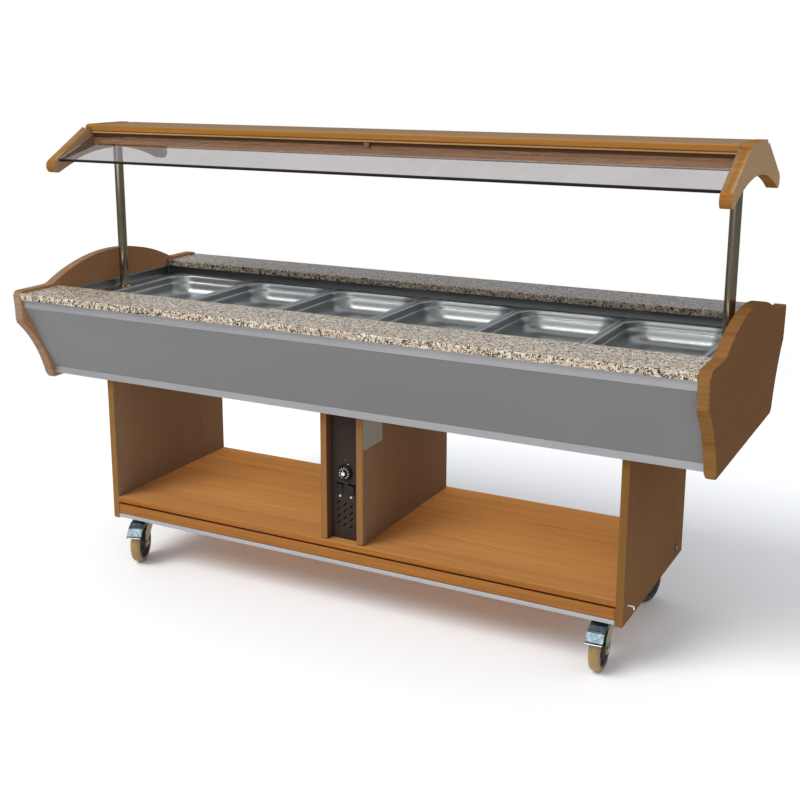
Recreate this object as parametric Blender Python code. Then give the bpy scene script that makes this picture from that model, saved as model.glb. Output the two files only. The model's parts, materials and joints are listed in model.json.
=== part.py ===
"""Mobile steam table: a six-pan hot well between shaped end panels, on castors, under a glazed canopy.

All dimensions below are millimetres. X runs along the table, -Y is the side with the controls, +Z is up.
The origin is on the floor under the middle of the table.
"""

from math import asin, atan2, cos, hypot, pi, radians, sin, tan

import bmesh
import bpy
from mathutils import Matrix, Vector

MM = 0.001
GAP = 0.3

# Overall shape
PANEL_INNER_X = 1044.0
PANEL_THICK = 31.0
HALF_DEPTH = 453.0
BODY_X = PANEL_INNER_X - GAP
BODY_BOTTOM_Z = 616.0

# End panels
PANEL_FLAT_Z = 902.0
PANEL_CROWN_Z = 976.0
PANEL_CROWN_R = 690.0
PANEL_FILLET_R = 60.0
PANEL_NOSE_Z = 807.0
PANEL_NOSE_R = 16.0
PANEL_BOTTOM_Z = 600.0
PANEL_FOOT_Y = 331.0
PANEL_SWEEP_SAG = 16.0
PANEL_ROUND = 7.0

# Stone, rails and fascia
STONE_TOP_Z = 895.0
STONE_THICK = 20.0
STONE_INNER_Y = 282.0
TOP_RAIL_Y = 443.0
TOP_RAIL_Z = 849.0
TOP_RAIL_FLANGE_Y = 395.0
BOTTOM_RAIL_Y = 323.0
BOTTOM_RAIL_Z = 637.0
BOTTOM_RAIL_FLANGE_Y = 298.0
RAIL_SHEET = 3.0
BODY_BOARD = 18.0

# Well
DECK_Z = 849.0
WELL_SHEET = 1.5
WELL_X = 1040.0
WELL_Y = 283.0
WELL_OPEN_X = 974.0
WELL_OPEN_Y = 256.0
WELL_FLOOR_Z = 661.0
WELL_TAPER = 3.0
WELL_FOLD = 4.0
BAR_HALF_X = 2.5
DRAIN_Y = 150.0
DRAIN_STUB_R = 13.0
ELEMENT_R = 4.2
ELEMENT_Z = 682.0
ELEMENT_FRONT_Y = -150.0
ELEMENT_REAR_Y = 60.0
ELEMENT_REACH_X = 830.0
ELEMENT_TAIL_X = 30.0
ELEMENT_TAIL_Z = 604.0

# Pans: gastronorm 1/1, 65 mm deep
PAN_COUNT = 6
PAN_HALF_X = 162.5
PAN_HALF_Y = 265.0
PAN_PITCH = 327.0
PAN_MIDDLE_GAP = 8.0
PAN_RIM_Z = 851.8
PAN_DEPTH = 65.0
PAN_SHEET = 1.0

# Posts and canopy
POST_X = 1008.7
POST_R = 15.0
POST_WALL = 1.5
CANOPY_X = 1029.0
BRACKET_THICK = 30.0
BRACKET_TOP_Z = 1395.0
BRACKET_FLAT_Y = 97.0
BRACKET_CORNER_R = 15.0
BRACKET_SHOULDER_Z = 1378.0
BRACKET_TIP_Y = 268.0
BRACKET_TIP_Z = 1274.0
BRACKET_TIP_R = 21.0
BRACKET_ARCH_Z = 1310.0
BRACKET_ROUND = 7.0
BOARD_HALF_Y = 105.0
BOARD_BOTTOM_Z = 1373.0
BOARD_THICK = 20.0
VALANCE_Y = 95.0
VALANCE_THICK = 12.0
VALANCE_BOTTOM_Z = 1329.0
GLASS_TOP = (98.0, 1357.0)
GLASS_LOW = (263.0, 1294.0)
GLASS_THICK = 6.0
LIGHT_HALF_X = 600.0
LIGHT_HALF_Y = 42.0
LIGHT_HEIGHT = 34.0

# Base
LEG_X = 830.0
LEG_THICK = 22.0
LEG_HALF_Y = 297.0
LEG_BOTTOM_Z = 145.0
PARTITION_X = 49.0
PARTITION_THICK = 21.0
PARTITION_HALF_Y = 288.0
SHELF_TOP_Z = 218.0
SHELF_THICK = 18.0
APRON_BOTTOM_Z = 161.3
APRON_THICK = 18.0
APRON_SET_BACK = 2.0
FRAME_BOTTOM_Z = 149.0
FRAME_TOP_Z = 161.0
FRAME_SIDE = 40.0
FRAME_END = 104.0
BOARD_ROUND = 1.5

# Controls
CONTROL_Y = -262.0
CONTROL_SHEET = 1.5
CONTROL_FLANGE = 20.0
KNOB_Z = 426.0
KNOB_R = 24.0
SWITCH_X = 18.5
SWITCH_Z = 377.0
SWITCH_HALF_X = 9.5
SWITCH_HALF_Z = 13.5
SWITCH_TILT = radians(10.0)
VENT_PITCH = 21.0
VENT_MIDDLE_X = -3.0
VENT_BOTTOM_Z = 264.0
VENT_LENGTH = 16.0
VENT_WIDTH = 4.0
VENT_SLANT = radians(48.0)
BOX_X = 46.0
BOX_REAR_Y = -110.0
BOX_BOTTOM_Z = 235.0
BOX_TOP_Z = 596.0
BOX_SHEET = 1.2
GLAND_Z = 300.0

# Castors
CASTOR_X = 783.0
CASTOR_FRONT_Y = -232.0
CASTOR_REAR_Y = 252.0
CASTOR_TRAIL = 40.0
WHEEL_R = 62.5
WHEEL_HALF_WIDTH = 16.0
FORK_INNER_X = 18.5
FORK_SHEET = 3.0
CROWN_TOP_Z = 136.0
CROWN_THICK = 4.0
AXLE_R = 6.0
KINGPIN_R = 6.0
PEDAL_PIVOT = (-22.0, 130.0)
PEDAL_SHEET = 2.5
PEDAL_HALF_X = 23.8
# Name, side in X, place in Y, angle that the wheel has swung to, and whether it has a brake.
CASTORS = (
    ("castor_front_left", -1, CASTOR_FRONT_Y, radians(20.0), True),
    ("castor_front_right", 1, CASTOR_FRONT_Y, radians(3.0), True),
    ("castor_rear_left", -1, CASTOR_REAR_Y, radians(12.0), False),
    ("castor_rear_right", 1, CASTOR_REAR_Y, radians(-15.0), False),
)


# ---------------------------------------------------------------- materials

FINISHES = {
    "wood_face": ((0.135, 0.067, 0.032), 0.45, 0.0),
    "wood_edge": ((0.40, 0.16, 0.045), 0.40, 0.0),
    "granite": ((0.60, 0.50, 0.42), 0.25, 0.0),
    "fascia_grey": ((0.21, 0.21, 0.21), 0.50, 0.0),
    "aluminium": ((0.62, 0.61, 0.63), 0.40, 0.9),
    "stainless": ((0.52, 0.55, 0.58), 0.28, 1.0),
    "polished_steel": ((0.66, 0.66, 0.66), 0.12, 1.0),
    "glass": ((0.70, 0.72, 0.72), 0.05, 0.0),
    "dark_panel": ((0.045, 0.03, 0.026), 0.50, 0.0),
    "black_plastic": ((0.015, 0.015, 0.016), 0.35, 0.0),
    "zinc": ((0.58, 0.57, 0.52), 0.32, 1.0),
    "tyre": ((0.07, 0.068, 0.06), 0.60, 0.0),
    "brass": ((0.68, 0.50, 0.20), 0.30, 1.0),
    "white_paint": ((0.75, 0.75, 0.72), 0.40, 0.0),
}


def make_material(name):
    colour, roughness, metallic = FINISHES[name]
    material = bpy.data.materials.new(name)
    material.use_nodes = True
    shader = material.node_tree.nodes["Principled BSDF"]
    shader.inputs["Base Color"].default_value = (*colour, 1.0)
    shader.inputs["Roughness"].default_value = roughness
    shader.inputs["Metallic"].default_value = metallic
    material.diffuse_color = (*colour, 1.0)
    return material


# ---------------------------------------------------------------- mesh helpers


def place(name, shape, finish, origin=(0, 0, 0), parent=None):
    """Turns a bmesh in millimetres into an object in metres, with its origin at the given point."""
    bmesh.ops.translate(shape, verts=shape.verts, vec=-Vector(origin))
    bmesh.ops.scale(shape, verts=shape.verts, vec=(MM, MM, MM))
    bmesh.ops.recalc_face_normals(shape, faces=shape.faces)
    mesh = bpy.data.meshes.new(name)
    shape.to_mesh(mesh)
    shape.free()
    mesh.shade_smooth()
    mesh.set_sharp_from_angle(angle=radians(32.0))
    mesh.materials.append(MATERIALS[finish])
    item = bpy.data.objects.new(name, mesh)
    item.location = Vector(origin) * MM
    item.parent = parent
    bpy.context.scene.collection.objects.link(item)
    return item


def boolean(item, tool, operation="DIFFERENCE"):
    """Applies an exact Boolean to the item and removes the tool."""
    modifier = item.modifiers.new("boolean", "BOOLEAN")
    modifier.object = tool
    modifier.operation = operation
    bpy.context.view_layer.update()
    graph = bpy.context.evaluated_depsgraph_get()
    baked = bpy.data.meshes.new_from_object(item.evaluated_get(graph))
    item.modifiers.remove(modifier)
    item.data = baked
    item.data.set_sharp_from_angle(angle=radians(32.0))
    bpy.data.objects.remove(tool)
    return item


def from_faces(points, faces):
    shape = bmesh.new()
    verts = [shape.verts.new(p) for p in points]
    for face in faces:
        shape.faces.new([verts[i] for i in face])
    return shape


def together(shapes):
    """Several separate shapes as one, for a cutter that makes all its holes in one go."""
    points, faces = [], []
    for shape in shapes:
        shape.verts.index_update()
        start = len(points)
        points += [tuple(v.co) for v in shape.verts]
        faces += [tuple(start + v.index for v in f.verts) for f in shape.faces]
        shape.free()
    return from_faces(points, faces)


def on_axis(axis, along, a, b):
    """A point with one coordinate along the axis and a, b on the other two, in X, Y, Z order."""
    return {"X": (along, a, b), "Y": (a, along, b), "Z": (a, b, along)}[axis]


def prism(outline, axis, low, high, rounding=0.0, segments=2):
    """An outline extruded along an axis, with the rims of its two end faces rounded."""
    count = len(outline)
    points = [on_axis(axis, end, a, b) for end in (low, high) for a, b in outline]
    sides = [(i, (i + 1) % count, count + (i + 1) % count, count + i) for i in range(count)]
    shape = from_faces(points, [tuple(range(count))[::-1], tuple(range(count, 2 * count)), *sides])
    if rounding:
        index = "XYZ".index(axis)
        rims = [e for e in shape.edges if abs(e.verts[0].co[index] - e.verts[1].co[index]) < 1e-3]
        bmesh.ops.bevel(
            shape, geom=rims, offset=rounding, segments=segments, profile=0.5, affect="EDGES"
        )
    return shape


def block(x, y, z, rounding=0.0, segments=1):
    """A box between pairs of coordinates, with all its edges rounded."""
    outline = [(x[0], y[0]), (x[1], y[0]), (x[1], y[1]), (x[0], y[1])]
    shape = prism(outline, "Z", z[0], z[1])
    if rounding:
        bmesh.ops.bevel(
            shape,
            geom=list(shape.edges),
            offset=rounding,
            segments=segments,
            profile=0.5,
            affect="EDGES",
        )
    return shape


def skin(rings, closed=False, cap_first=False, cap_last=False):
    """Joins rings of equal length one after another, and caps or closes the ends."""
    count = len(rings[0])
    points = [p for ring in rings for p in ring]
    pairs = [(k, k + 1) for k in range(len(rings) - 1)] + ([(len(rings) - 1, 0)] if closed else [])
    faces = [
        (a * count + i, a * count + (i + 1) % count, b * count + (i + 1) % count, b * count + i)
        for a, b in pairs
        for i in range(count)
    ]
    if cap_first:
        faces.append(tuple(range(count))[::-1])
    if cap_last:
        faces.append(tuple(range(len(points) - count, len(points))))
    return from_faces(points, faces)


def rounded_ring(half_x, half_y, radius, z, per_corner=4, centre=(0.0, 0.0)):
    """A level rectangle with round corners."""
    ring = []
    for quarter, (sx, sy) in enumerate(((1, 1), (-1, 1), (-1, -1), (1, -1))):
        for step in range(per_corner):
            turn = pi / 2 * (quarter + step / (per_corner - 1))
            x = sx * (half_x - radius) + radius * cos(turn)
            y = sy * (half_y - radius) + radius * sin(turn)
            ring.append((centre[0] + x, centre[1] + y, z))
    return ring


def turned(profile, axis, centre, steps, ring=False):
    """A profile of (radius, height) points turned about an axis through the centre, flats tangent."""
    outward = 1 / cos(pi / steps)
    rings = []
    for radius, height in profile:
        points = []
        for step in range(steps):
            turn = 2 * pi * (step + 0.5) / steps
            a, b = radius * outward * cos(turn), radius * outward * sin(turn)
            offset = on_axis(axis, height, a, b)
            points.append(tuple(centre[k] + offset[k] for k in (0, 1, 2)))
        rings.append(points)
    return skin(rings, closed=ring, cap_first=not ring, cap_last=not ring)


def arc(centre, radius, start, end, steps):
    """Points on a circle in the plane of an outline, from one angle to another, in radians."""
    turns = [start + (end - start) * k / steps for k in range(steps + 1)]
    return [(centre[0] + radius * cos(t), centre[1] + radius * sin(t)) for t in turns]


def bowed(start, end, sag, steps):
    """Points on a shallow arc from start to end that bows to the left of that direction by sag."""
    (ax, ay), (bx, by) = start, end
    length = hypot(bx - ax, by - ay)
    radius = length**2 / (8 * abs(sag)) + abs(sag) / 2
    side = 1 if sag > 0 else -1
    nx, ny = -(by - ay) / length * side, (bx - ax) / length * side
    reach = radius - abs(sag)
    centre = ((ax + bx) / 2 - nx * reach, (ay + by) / 2 - ny * reach)
    middle = atan2(ny, nx)
    half = asin(length / 2 / radius) * side
    return arc(centre, radius, middle + half, middle - half, steps)


def mirrored(half):
    """Closes a half outline, given from the -Y side to the middle, with its mirror image."""
    return half + [(-y, z) for y, z in reversed(half) if abs(y) > 1e-6]


# ---------------------------------------------------------------- body


def end_panel_outline():
    """Side view of an end panel: crowned top, flat ledges, and a hollow sweep in to the foot."""
    crown_centre_z = PANEL_CROWN_Z - PANEL_CROWN_R
    fillet_z = PANEL_FLAT_Z + PANEL_FILLET_R
    reach = PANEL_CROWN_R + PANEL_FILLET_R
    fillet_y = (reach**2 - (fillet_z - crown_centre_z) ** 2) ** 0.5
    lean = asin(fillet_y / reach)
    foot = [(-PANEL_FOOT_Y + 8, PANEL_BOTTOM_Z), (-PANEL_FOOT_Y + 1, PANEL_BOTTOM_Z + 5)]
    sweep = bowed(
        (-PANEL_FOOT_Y - 2, PANEL_BOTTOM_Z + 14),
        (-HALF_DEPTH + 3, PANEL_NOSE_Z - 3),
        -PANEL_SWEEP_SAG,
        9,
    )
    nose_centre = (-HALF_DEPTH + PANEL_NOSE_R, PANEL_FLAT_Z - PANEL_NOSE_R)
    nose = arc(nose_centre, PANEL_NOSE_R, pi, pi / 2, 4)
    fillet = arc((-fillet_y, fillet_z), PANEL_FILLET_R, -pi / 2, -pi / 2 + lean, 4)
    crown = arc((0, crown_centre_z), PANEL_CROWN_R, pi / 2 + lean, pi / 2, 8)[1:]
    return mirrored([*foot, *sweep, (-HALF_DEPTH, PANEL_NOSE_Z + 5), *nose, *fillet, *crown])


def make_end_panels():
    outline = end_panel_outline()
    for side, x in (("left", -1), ("right", 1)):
        ends = sorted((x * PANEL_INNER_X, x * (PANEL_INNER_X + PANEL_THICK)))
        place(f"{side}_end_panel", prism(outline, "X", *ends, PANEL_ROUND, 2), "wood_face")


def strip(name, outline, finish, rounding=0.0):
    """A length of section across the body, between the end panels."""
    return place(name, prism(outline, "X", -BODY_X, BODY_X, rounding, 1), finish)


def make_surround():
    """The stone ledges, their rails and the sloping fascias, the same at the front and the rear."""
    stone_low = STONE_TOP_Z - STONE_THICK
    under_stone = stone_low - GAP
    for side, s in (("front", -1), ("rear", 1)):
        stone = [
            (s * STONE_INNER_Y, stone_low),
            (s * HALF_DEPTH, stone_low),
            (s * HALF_DEPTH, STONE_TOP_Z - 2),
            (s * (HALF_DEPTH - 2), STONE_TOP_Z),
            (s * (STONE_INNER_Y + 2), STONE_TOP_Z),
            (s * STONE_INNER_Y, STONE_TOP_Z - 2),
        ]
        strip(f"{side}_granite_slab", stone, "granite")
        top_rail = [
            (s * TOP_RAIL_Y, TOP_RAIL_Z),
            (s * TOP_RAIL_Y, under_stone),
            (s * TOP_RAIL_FLANGE_Y, under_stone),
            (s * TOP_RAIL_FLANGE_Y, under_stone - RAIL_SHEET),
            (s * (TOP_RAIL_Y - RAIL_SHEET), under_stone - RAIL_SHEET),
            (s * (TOP_RAIL_Y - RAIL_SHEET), TOP_RAIL_Z),
        ]
        strip(f"{side}_top_rail", top_rail, "aluminium")
        fascia = [
            (s * TOP_RAIL_Y, TOP_RAIL_Z - GAP),
            (s * BOTTOM_RAIL_Y, BOTTOM_RAIL_Z + GAP),
            (s * (BOTTOM_RAIL_Y - RAIL_SHEET), BOTTOM_RAIL_Z + GAP),
            (s * (TOP_RAIL_Y - RAIL_SHEET), TOP_RAIL_Z - GAP),
        ]
        strip(f"{side}_fascia_panel", fascia, "fascia_grey")
        inner_y = BOTTOM_RAIL_Y - RAIL_SHEET
        bottom_rail = [
            (s * BOTTOM_RAIL_Y, BODY_BOTTOM_Z),
            (s * BOTTOM_RAIL_Y, BOTTOM_RAIL_Z),
            (s * BOTTOM_RAIL_FLANGE_Y, BOTTOM_RAIL_Z),
            (s * BOTTOM_RAIL_FLANGE_Y, BOTTOM_RAIL_Z - RAIL_SHEET + GAP),
            (s * inner_y, BOTTOM_RAIL_Z - RAIL_SHEET + GAP),
            (s * inner_y, BODY_BOTTOM_Z),
        ]
        strip(f"{side}_bottom_rail", bottom_rail, "aluminium")


def make_body_floor():
    half_y = BOTTOM_RAIL_Y - RAIL_SHEET - GAP
    shape = block((-BODY_X, BODY_X), (-half_y, half_y), (BODY_BOTTOM_Z, BODY_BOTTOM_Z + BODY_BOARD))
    board = place("body_floor_board", shape, "wood_face")
    for x, y, radius in floor_holes(clearance=3.0):
        boolean(board, drill(x, y, radius, BODY_BOTTOM_Z - 5, BODY_BOTTOM_Z + BODY_BOARD + 5))


def floor_holes(clearance):
    """Where the drain stub and the two element tails pass down through the body."""
    tails = [(x, ELEMENT_FRONT_Y, ELEMENT_R + clearance) for x in (-ELEMENT_TAIL_X, ELEMENT_TAIL_X)]
    return [(0.0, DRAIN_Y, DRAIN_STUB_R + clearance), *tails]


def drill(x, y, radius, low, high):
    shape = turned(((radius, low), (radius, high)), "Z", (x, y, 0.0), 16)
    return place("drill", shape, "black_plastic")


def make_well():
    """The pressed tank: a flange under the stone, a raised wall, the pan ledge and the water well."""
    t = WELL_SHEET
    taper, inset = WELL_TAPER, WELL_TAPER + WELL_FOLD
    mitre = t * tan(pi / 8)
    under_stone = STONE_TOP_Z - STONE_THICK - GAP
    upper = [
        (WELL_X + t + 2.0, WELL_Y + 17.0, 4, under_stone),
        (WELL_X, WELL_Y, 3, under_stone),
        (WELL_X, WELL_Y, 3, DECK_Z),
        (WELL_OPEN_X, WELL_OPEN_Y, 30, DECK_Z),
        (WELL_OPEN_X - taper, WELL_OPEN_Y - taper, 30, WELL_FLOOR_Z + WELL_FOLD),
        (WELL_OPEN_X - inset, WELL_OPEN_Y - inset, 26, WELL_FLOOR_Z),
    ]
    lower = [
        (WELL_OPEN_X - inset + mitre, WELL_OPEN_Y - inset + mitre, 26, WELL_FLOOR_Z - t),
        (WELL_OPEN_X - taper + t, WELL_OPEN_Y - taper + t, 30, WELL_FLOOR_Z + WELL_FOLD - mitre),
        (WELL_OPEN_X + t, WELL_OPEN_Y + t, 30, DECK_Z - t),
        (WELL_X + t, WELL_Y + t, 4, DECK_Z - t),
        (WELL_X + t, WELL_Y + t, 4, under_stone - t),
        (WELL_X + t + 2.0, WELL_Y + 17.0, 4, under_stone - t),
    ]
    rings = [rounded_ring(*size) for size in reversed(upper)]
    rings += [rounded_ring(*size) for size in reversed(lower)]
    tank = place("well_tank", skin(rings, cap_first=True, cap_last=True), "stainless")
    for x, y, radius in floor_holes(clearance=0.6):
        boolean(tank, drill(x, y, radius, WELL_FLOOR_Z - 10, WELL_FLOOR_Z + 10))


def make_cross_bar():
    """The upright strip across the well between the third and the fourth pan, hooked on the ledges."""
    top = PAN_RIM_Z - GAP
    half = [
        (-WELL_OPEN_Y - 9, DECK_Z + GAP),
        (-WELL_OPEN_Y + 2, DECK_Z + GAP),
        (-WELL_OPEN_Y + 2, DECK_Z - 16),
    ]
    outline = [*mirrored(half), (WELL_OPEN_Y + 9, top), (-WELL_OPEN_Y - 9, top)]
    shape = prism(outline, "X", -BAR_HALF_X, BAR_HALF_X)
    place("well_cross_bar", shape, "stainless")


def pan_centres():
    """X of each pan, left to right, in two groups of three with the cross bar between them."""
    first = PAN_MIDDLE_GAP / 2 + PAN_HALF_X
    right = [first + PAN_PITCH * k for k in range(PAN_COUNT // 2)]
    return [-x for x in reversed(right)] + right


def make_pans():
    """Deep-drawn pans: turned-down rim, a stacking shoulder and a round-cornered floor."""
    t = PAN_SHEET
    rim, floor = PAN_RIM_Z, PAN_RIM_Z - PAN_DEPTH
    upper = [
        (0.0, 12, DECK_Z + GAP),
        (0.0, 12, rim - 1.0),
        (0.9, 12, rim),
        (12.5, 46, rim),
        (14.5, 46, rim - 2.5),
        (15.5, 46, rim - 20),
        (18.5, 45, rim - 23),
        (24.0, 42, floor + 8),
        (32.0, 38, floor),
    ]
    lower = [
        (31.6, 38, floor - t),
        (23.0, 42, floor + 7.4),
        (17.5, 45, rim - 23.6),
        (14.5, 46, rim - 20.6),
        (13.0, 46, rim - t),
        (1.4, 12, rim - t),
        (1.0, 12, DECK_Z + GAP),
    ]
    for number, x in enumerate(pan_centres(), start=1):
        rings = [
            rounded_ring(PAN_HALF_X - inset, PAN_HALF_Y - inset, radius, z, 4, (x, 0.0))
            for inset, radius, z in [*reversed(upper), *reversed(lower)]
        ]
        shape = skin(rings, cap_first=True, cap_last=True)
        place(f"gn_pan_{number}", shape, "stainless", (x, 0.0, rim))


def make_element():
    """A tubular element: one long loop above the well floor, with both tails down through it."""
    bend = 16.0
    half = (ELEMENT_REAR_Y - ELEMENT_FRONT_Y) / 2
    middle_y = (ELEMENT_REAR_Y + ELEMENT_FRONT_Y) / 2
    right = [(ELEMENT_TAIL_X, ELEMENT_FRONT_Y, ELEMENT_TAIL_Z)]
    for x, z in arc((ELEMENT_TAIL_X + bend, ELEMENT_Z - bend), bend, pi, pi / 2, 3):
        right.append((x, ELEMENT_FRONT_Y, z))
    for x, y in arc((ELEMENT_REACH_X, middle_y), half, -pi / 2, pi / 2, 8):
        right.append((x, y, ELEMENT_Z))
    route = right + [(-x, y, z) for x, y, z in reversed(right)]
    curve = bpy.data.curves.new("heating_element", "CURVE")
    curve.dimensions = "3D"
    curve.bevel_depth = ELEMENT_R * MM
    curve.bevel_resolution = 1
    curve.use_fill_caps = True
    curve.materials.append(MATERIALS["polished_steel"])
    spline = curve.splines.new("POLY")
    spline.points.add(len(route) - 1)
    for point, place_mm in zip(spline.points, route):
        point.co = (*(v * MM for v in place_mm), 1.0)
    item = bpy.data.objects.new("heating_element", curve)
    bpy.context.scene.collection.objects.link(item)


def make_drain():
    """A ball valve under the well, with a lever that turns from across the pipe to along it."""
    profile = (
        (8.0, WELL_FLOOR_Z + 3),
        (20.0, WELL_FLOOR_Z + 3),
        (20.0, WELL_FLOOR_Z + GAP),
        (DRAIN_STUB_R, WELL_FLOOR_Z + GAP),
        (DRAIN_STUB_R, 604.0),
        (18.0, 602.0),
        (18.0, 566.0),
        (DRAIN_STUB_R, 564.0),
        (DRAIN_STUB_R, 540.0),
        (8.0, 540.0),
    )
    valve = place("drain_valve", turned(profile, "Z", (0.0, DRAIN_Y, 0.0), 16, ring=True), "brass")
    lever_z = 584.0
    face = DRAIN_Y + 18.0
    stem = turned(((6.0, face - 5.0), (6.0, face + 10.0)), "Y", (0.0, 0.0, lever_z), 12)
    boolean(valve, place("stem", stem, "brass"), "UNION")
    y = face + 10.0 + GAP
    outline = arc((0.0, lever_z), 8.0, pi / 2, 3 * pi / 2, 6) + arc((38.0, lever_z), 5.0, -pi / 2, pi / 2, 5)
    lever = prism(outline, "Y", y, y + 4.0)
    place("drain_lever", lever, "black_plastic", (0.0, y, lever_z))


# ---------------------------------------------------------------- canopy


def make_posts():
    for side, x in (("left", -POST_X), ("right", POST_X)):
        low, high = DECK_Z + GAP, BOARD_BOTTOM_Z - GAP
        inner = POST_R - POST_WALL
        profile = ((inner, low), (inner, high), (POST_R, high), (POST_R, low))
        shape = turned(profile, "Z", (x, 0.0, 0.0), 20, ring=True)
        place(f"{side}_post", shape, "polished_steel")


def bracket_outline():
    """Side view of a canopy bracket: flat top, sloping shoulders, round tips and an arched underside.

    The arch and the shoulder both run into the round tip at a tangent.
    """
    rise = BRACKET_ARCH_Z - BRACKET_TIP_Z
    arch_r = (BRACKET_TIP_Y**2 + rise**2 - BRACKET_TIP_R**2) / (2 * (rise + BRACKET_TIP_R))
    lean = asin(BRACKET_TIP_Y / (arch_r + BRACKET_TIP_R))
    arch = arc((0.0, BRACKET_ARCH_Z - arch_r), arch_r, pi / 2, pi / 2 + lean, 8)
    drop, reach = BRACKET_SHOULDER_Z - BRACKET_TIP_Z, BRACKET_TIP_Y - BRACKET_FLAT_Y
    slope = atan2(drop, reach) - asin(BRACKET_TIP_R / hypot(drop, reach))
    tip = (-BRACKET_TIP_Y, BRACKET_TIP_Z)
    turn = arc(tip, BRACKET_TIP_R, lean - pi / 2, slope - 3 * pi / 2, 8)
    corner_r = BRACKET_CORNER_R
    corner_centre = (-BRACKET_FLAT_Y + corner_r, BRACKET_TOP_Z - corner_r)
    corner = arc(corner_centre, corner_r, pi, pi / 2, 4)
    half = [*arch[:-1], *turn, (-BRACKET_FLAT_Y, BRACKET_SHOULDER_Z), *corner]
    return half + [(-y, z) for y, z in reversed(half) if abs(y) > 1e-3]


def make_brackets():
    outline = bracket_outline()
    for side, x in (("left", -1), ("right", 1)):
        ends = sorted((x * CANOPY_X, x * (CANOPY_X + BRACKET_THICK)))
        shape = prism(outline, "X", *ends, BRACKET_ROUND, 2)
        place(f"{side}_canopy_bracket", shape, "wood_face")


def make_canopy():
    """The top board, the two boards that hang from it, the sloping panes and the light."""
    ends = (-CANOPY_X + GAP, CANOPY_X - GAP)
    board = block(
        ends, (-BOARD_HALF_Y, BOARD_HALF_Y), (BOARD_BOTTOM_Z, BOARD_BOTTOM_Z + BOARD_THICK), 4.0, 2
    )
    place("canopy_top_board", board, "wood_edge")
    (top_y, top_z), (low_y, low_z) = GLASS_TOP, GLASS_LOW
    length = hypot(low_y - top_y, low_z - top_z)
    rise_y = GLASS_THICK * (top_z - low_z) / length
    rise_z = GLASS_THICK * (low_y - top_y) / length
    for side, s in (("front", -1), ("rear", 1)):
        edges = sorted((s * VALANCE_Y, s * (VALANCE_Y - VALANCE_THICK)))
        valance = block(ends, edges, (VALANCE_BOTTOM_Z, BOARD_BOTTOM_Z - GAP), 1.0)
        place(f"{side}_valance", valance, "wood_edge")
        pane = [
            (s * top_y, top_z),
            (s * low_y, low_z),
            (s * (low_y - rise_y), low_z - rise_z),
            (s * (top_y - rise_y + 2.2), top_z - rise_z),
        ]
        place(f"{side}_glass_pane", prism(pane, "X", *ends), "glass")
    low = BOARD_BOTTOM_Z - GAP - LIGHT_HEIGHT
    section = [
        (-LIGHT_HALF_Y, BOARD_BOTTOM_Z - GAP),
        (-LIGHT_HALF_Y, low + 16.0),
        (-LIGHT_HALF_Y + 14.0, low),
        (LIGHT_HALF_Y - 14.0, low),
        (LIGHT_HALF_Y, low + 16.0),
        (LIGHT_HALF_Y, BOARD_BOTTOM_Z - GAP),
    ]
    place("canopy_light", prism(section, "X", -LIGHT_HALF_X, LIGHT_HALF_X), "white_paint")


# ---------------------------------------------------------------- base


def make_boards():
    """Leg panels, partitions, shelf and aprons."""
    high = BODY_BOTTOM_Z - GAP
    deep = (-LEG_HALF_Y, LEG_HALF_Y)
    for side, s in (("left", -1), ("right", 1)):
        x = sorted((s * LEG_X, s * (LEG_X + LEG_THICK)))
        place(f"{side}_leg_panel", block(x, deep, (LEG_BOTTOM_Z, high), BOARD_ROUND), "wood_face")
        x = sorted((s * PARTITION_X, s * (PARTITION_X + PARTITION_THICK)))
        y = (-PARTITION_HALF_Y, PARTITION_HALF_Y)
        shape = block(x, y, (SHELF_TOP_Z + GAP, high), BOARD_ROUND)
        place(f"{side}_partition", shape, "wood_face")
    x = (-LEG_X + GAP, LEG_X - GAP)
    shelf_low = SHELF_TOP_Z - SHELF_THICK
    place("lower_shelf", block(x, deep, (shelf_low, SHELF_TOP_Z), BOARD_ROUND), "wood_edge")
    for side, s in (("front", -1), ("rear", 1)):
        outer = LEG_HALF_Y - APRON_SET_BACK
        y = sorted((s * outer, s * (outer - APRON_THICK)))
        shape = block(x, y, (APRON_BOTTOM_Z, shelf_low - GAP), BOARD_ROUND)
        place(f"{side}_apron", shape, "wood_edge")


def make_base_frame():
    """A flat ladder frame that carries the castors under the aprons."""
    half_x = LEG_X - GAP
    height = (FRAME_BOTTOM_Z, FRAME_TOP_Z)
    frame = place(
        "base_frame", block((-half_x, half_x), (-LEG_HALF_Y, LEG_HALF_Y), height), "aluminium"
    )
    bar = FRAME_SIDE / 2
    bay_y = LEG_HALF_Y - FRAME_SIDE
    tall = (FRAME_BOTTOM_Z - 5, FRAME_TOP_Z + 5)
    for x in ((-half_x + FRAME_END, -bar), (bar, half_x - FRAME_END)):
        boolean(frame, place("bay", block(x, (-bay_y, bay_y), tall), "aluminium"))


# ---------------------------------------------------------------- controls


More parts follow.
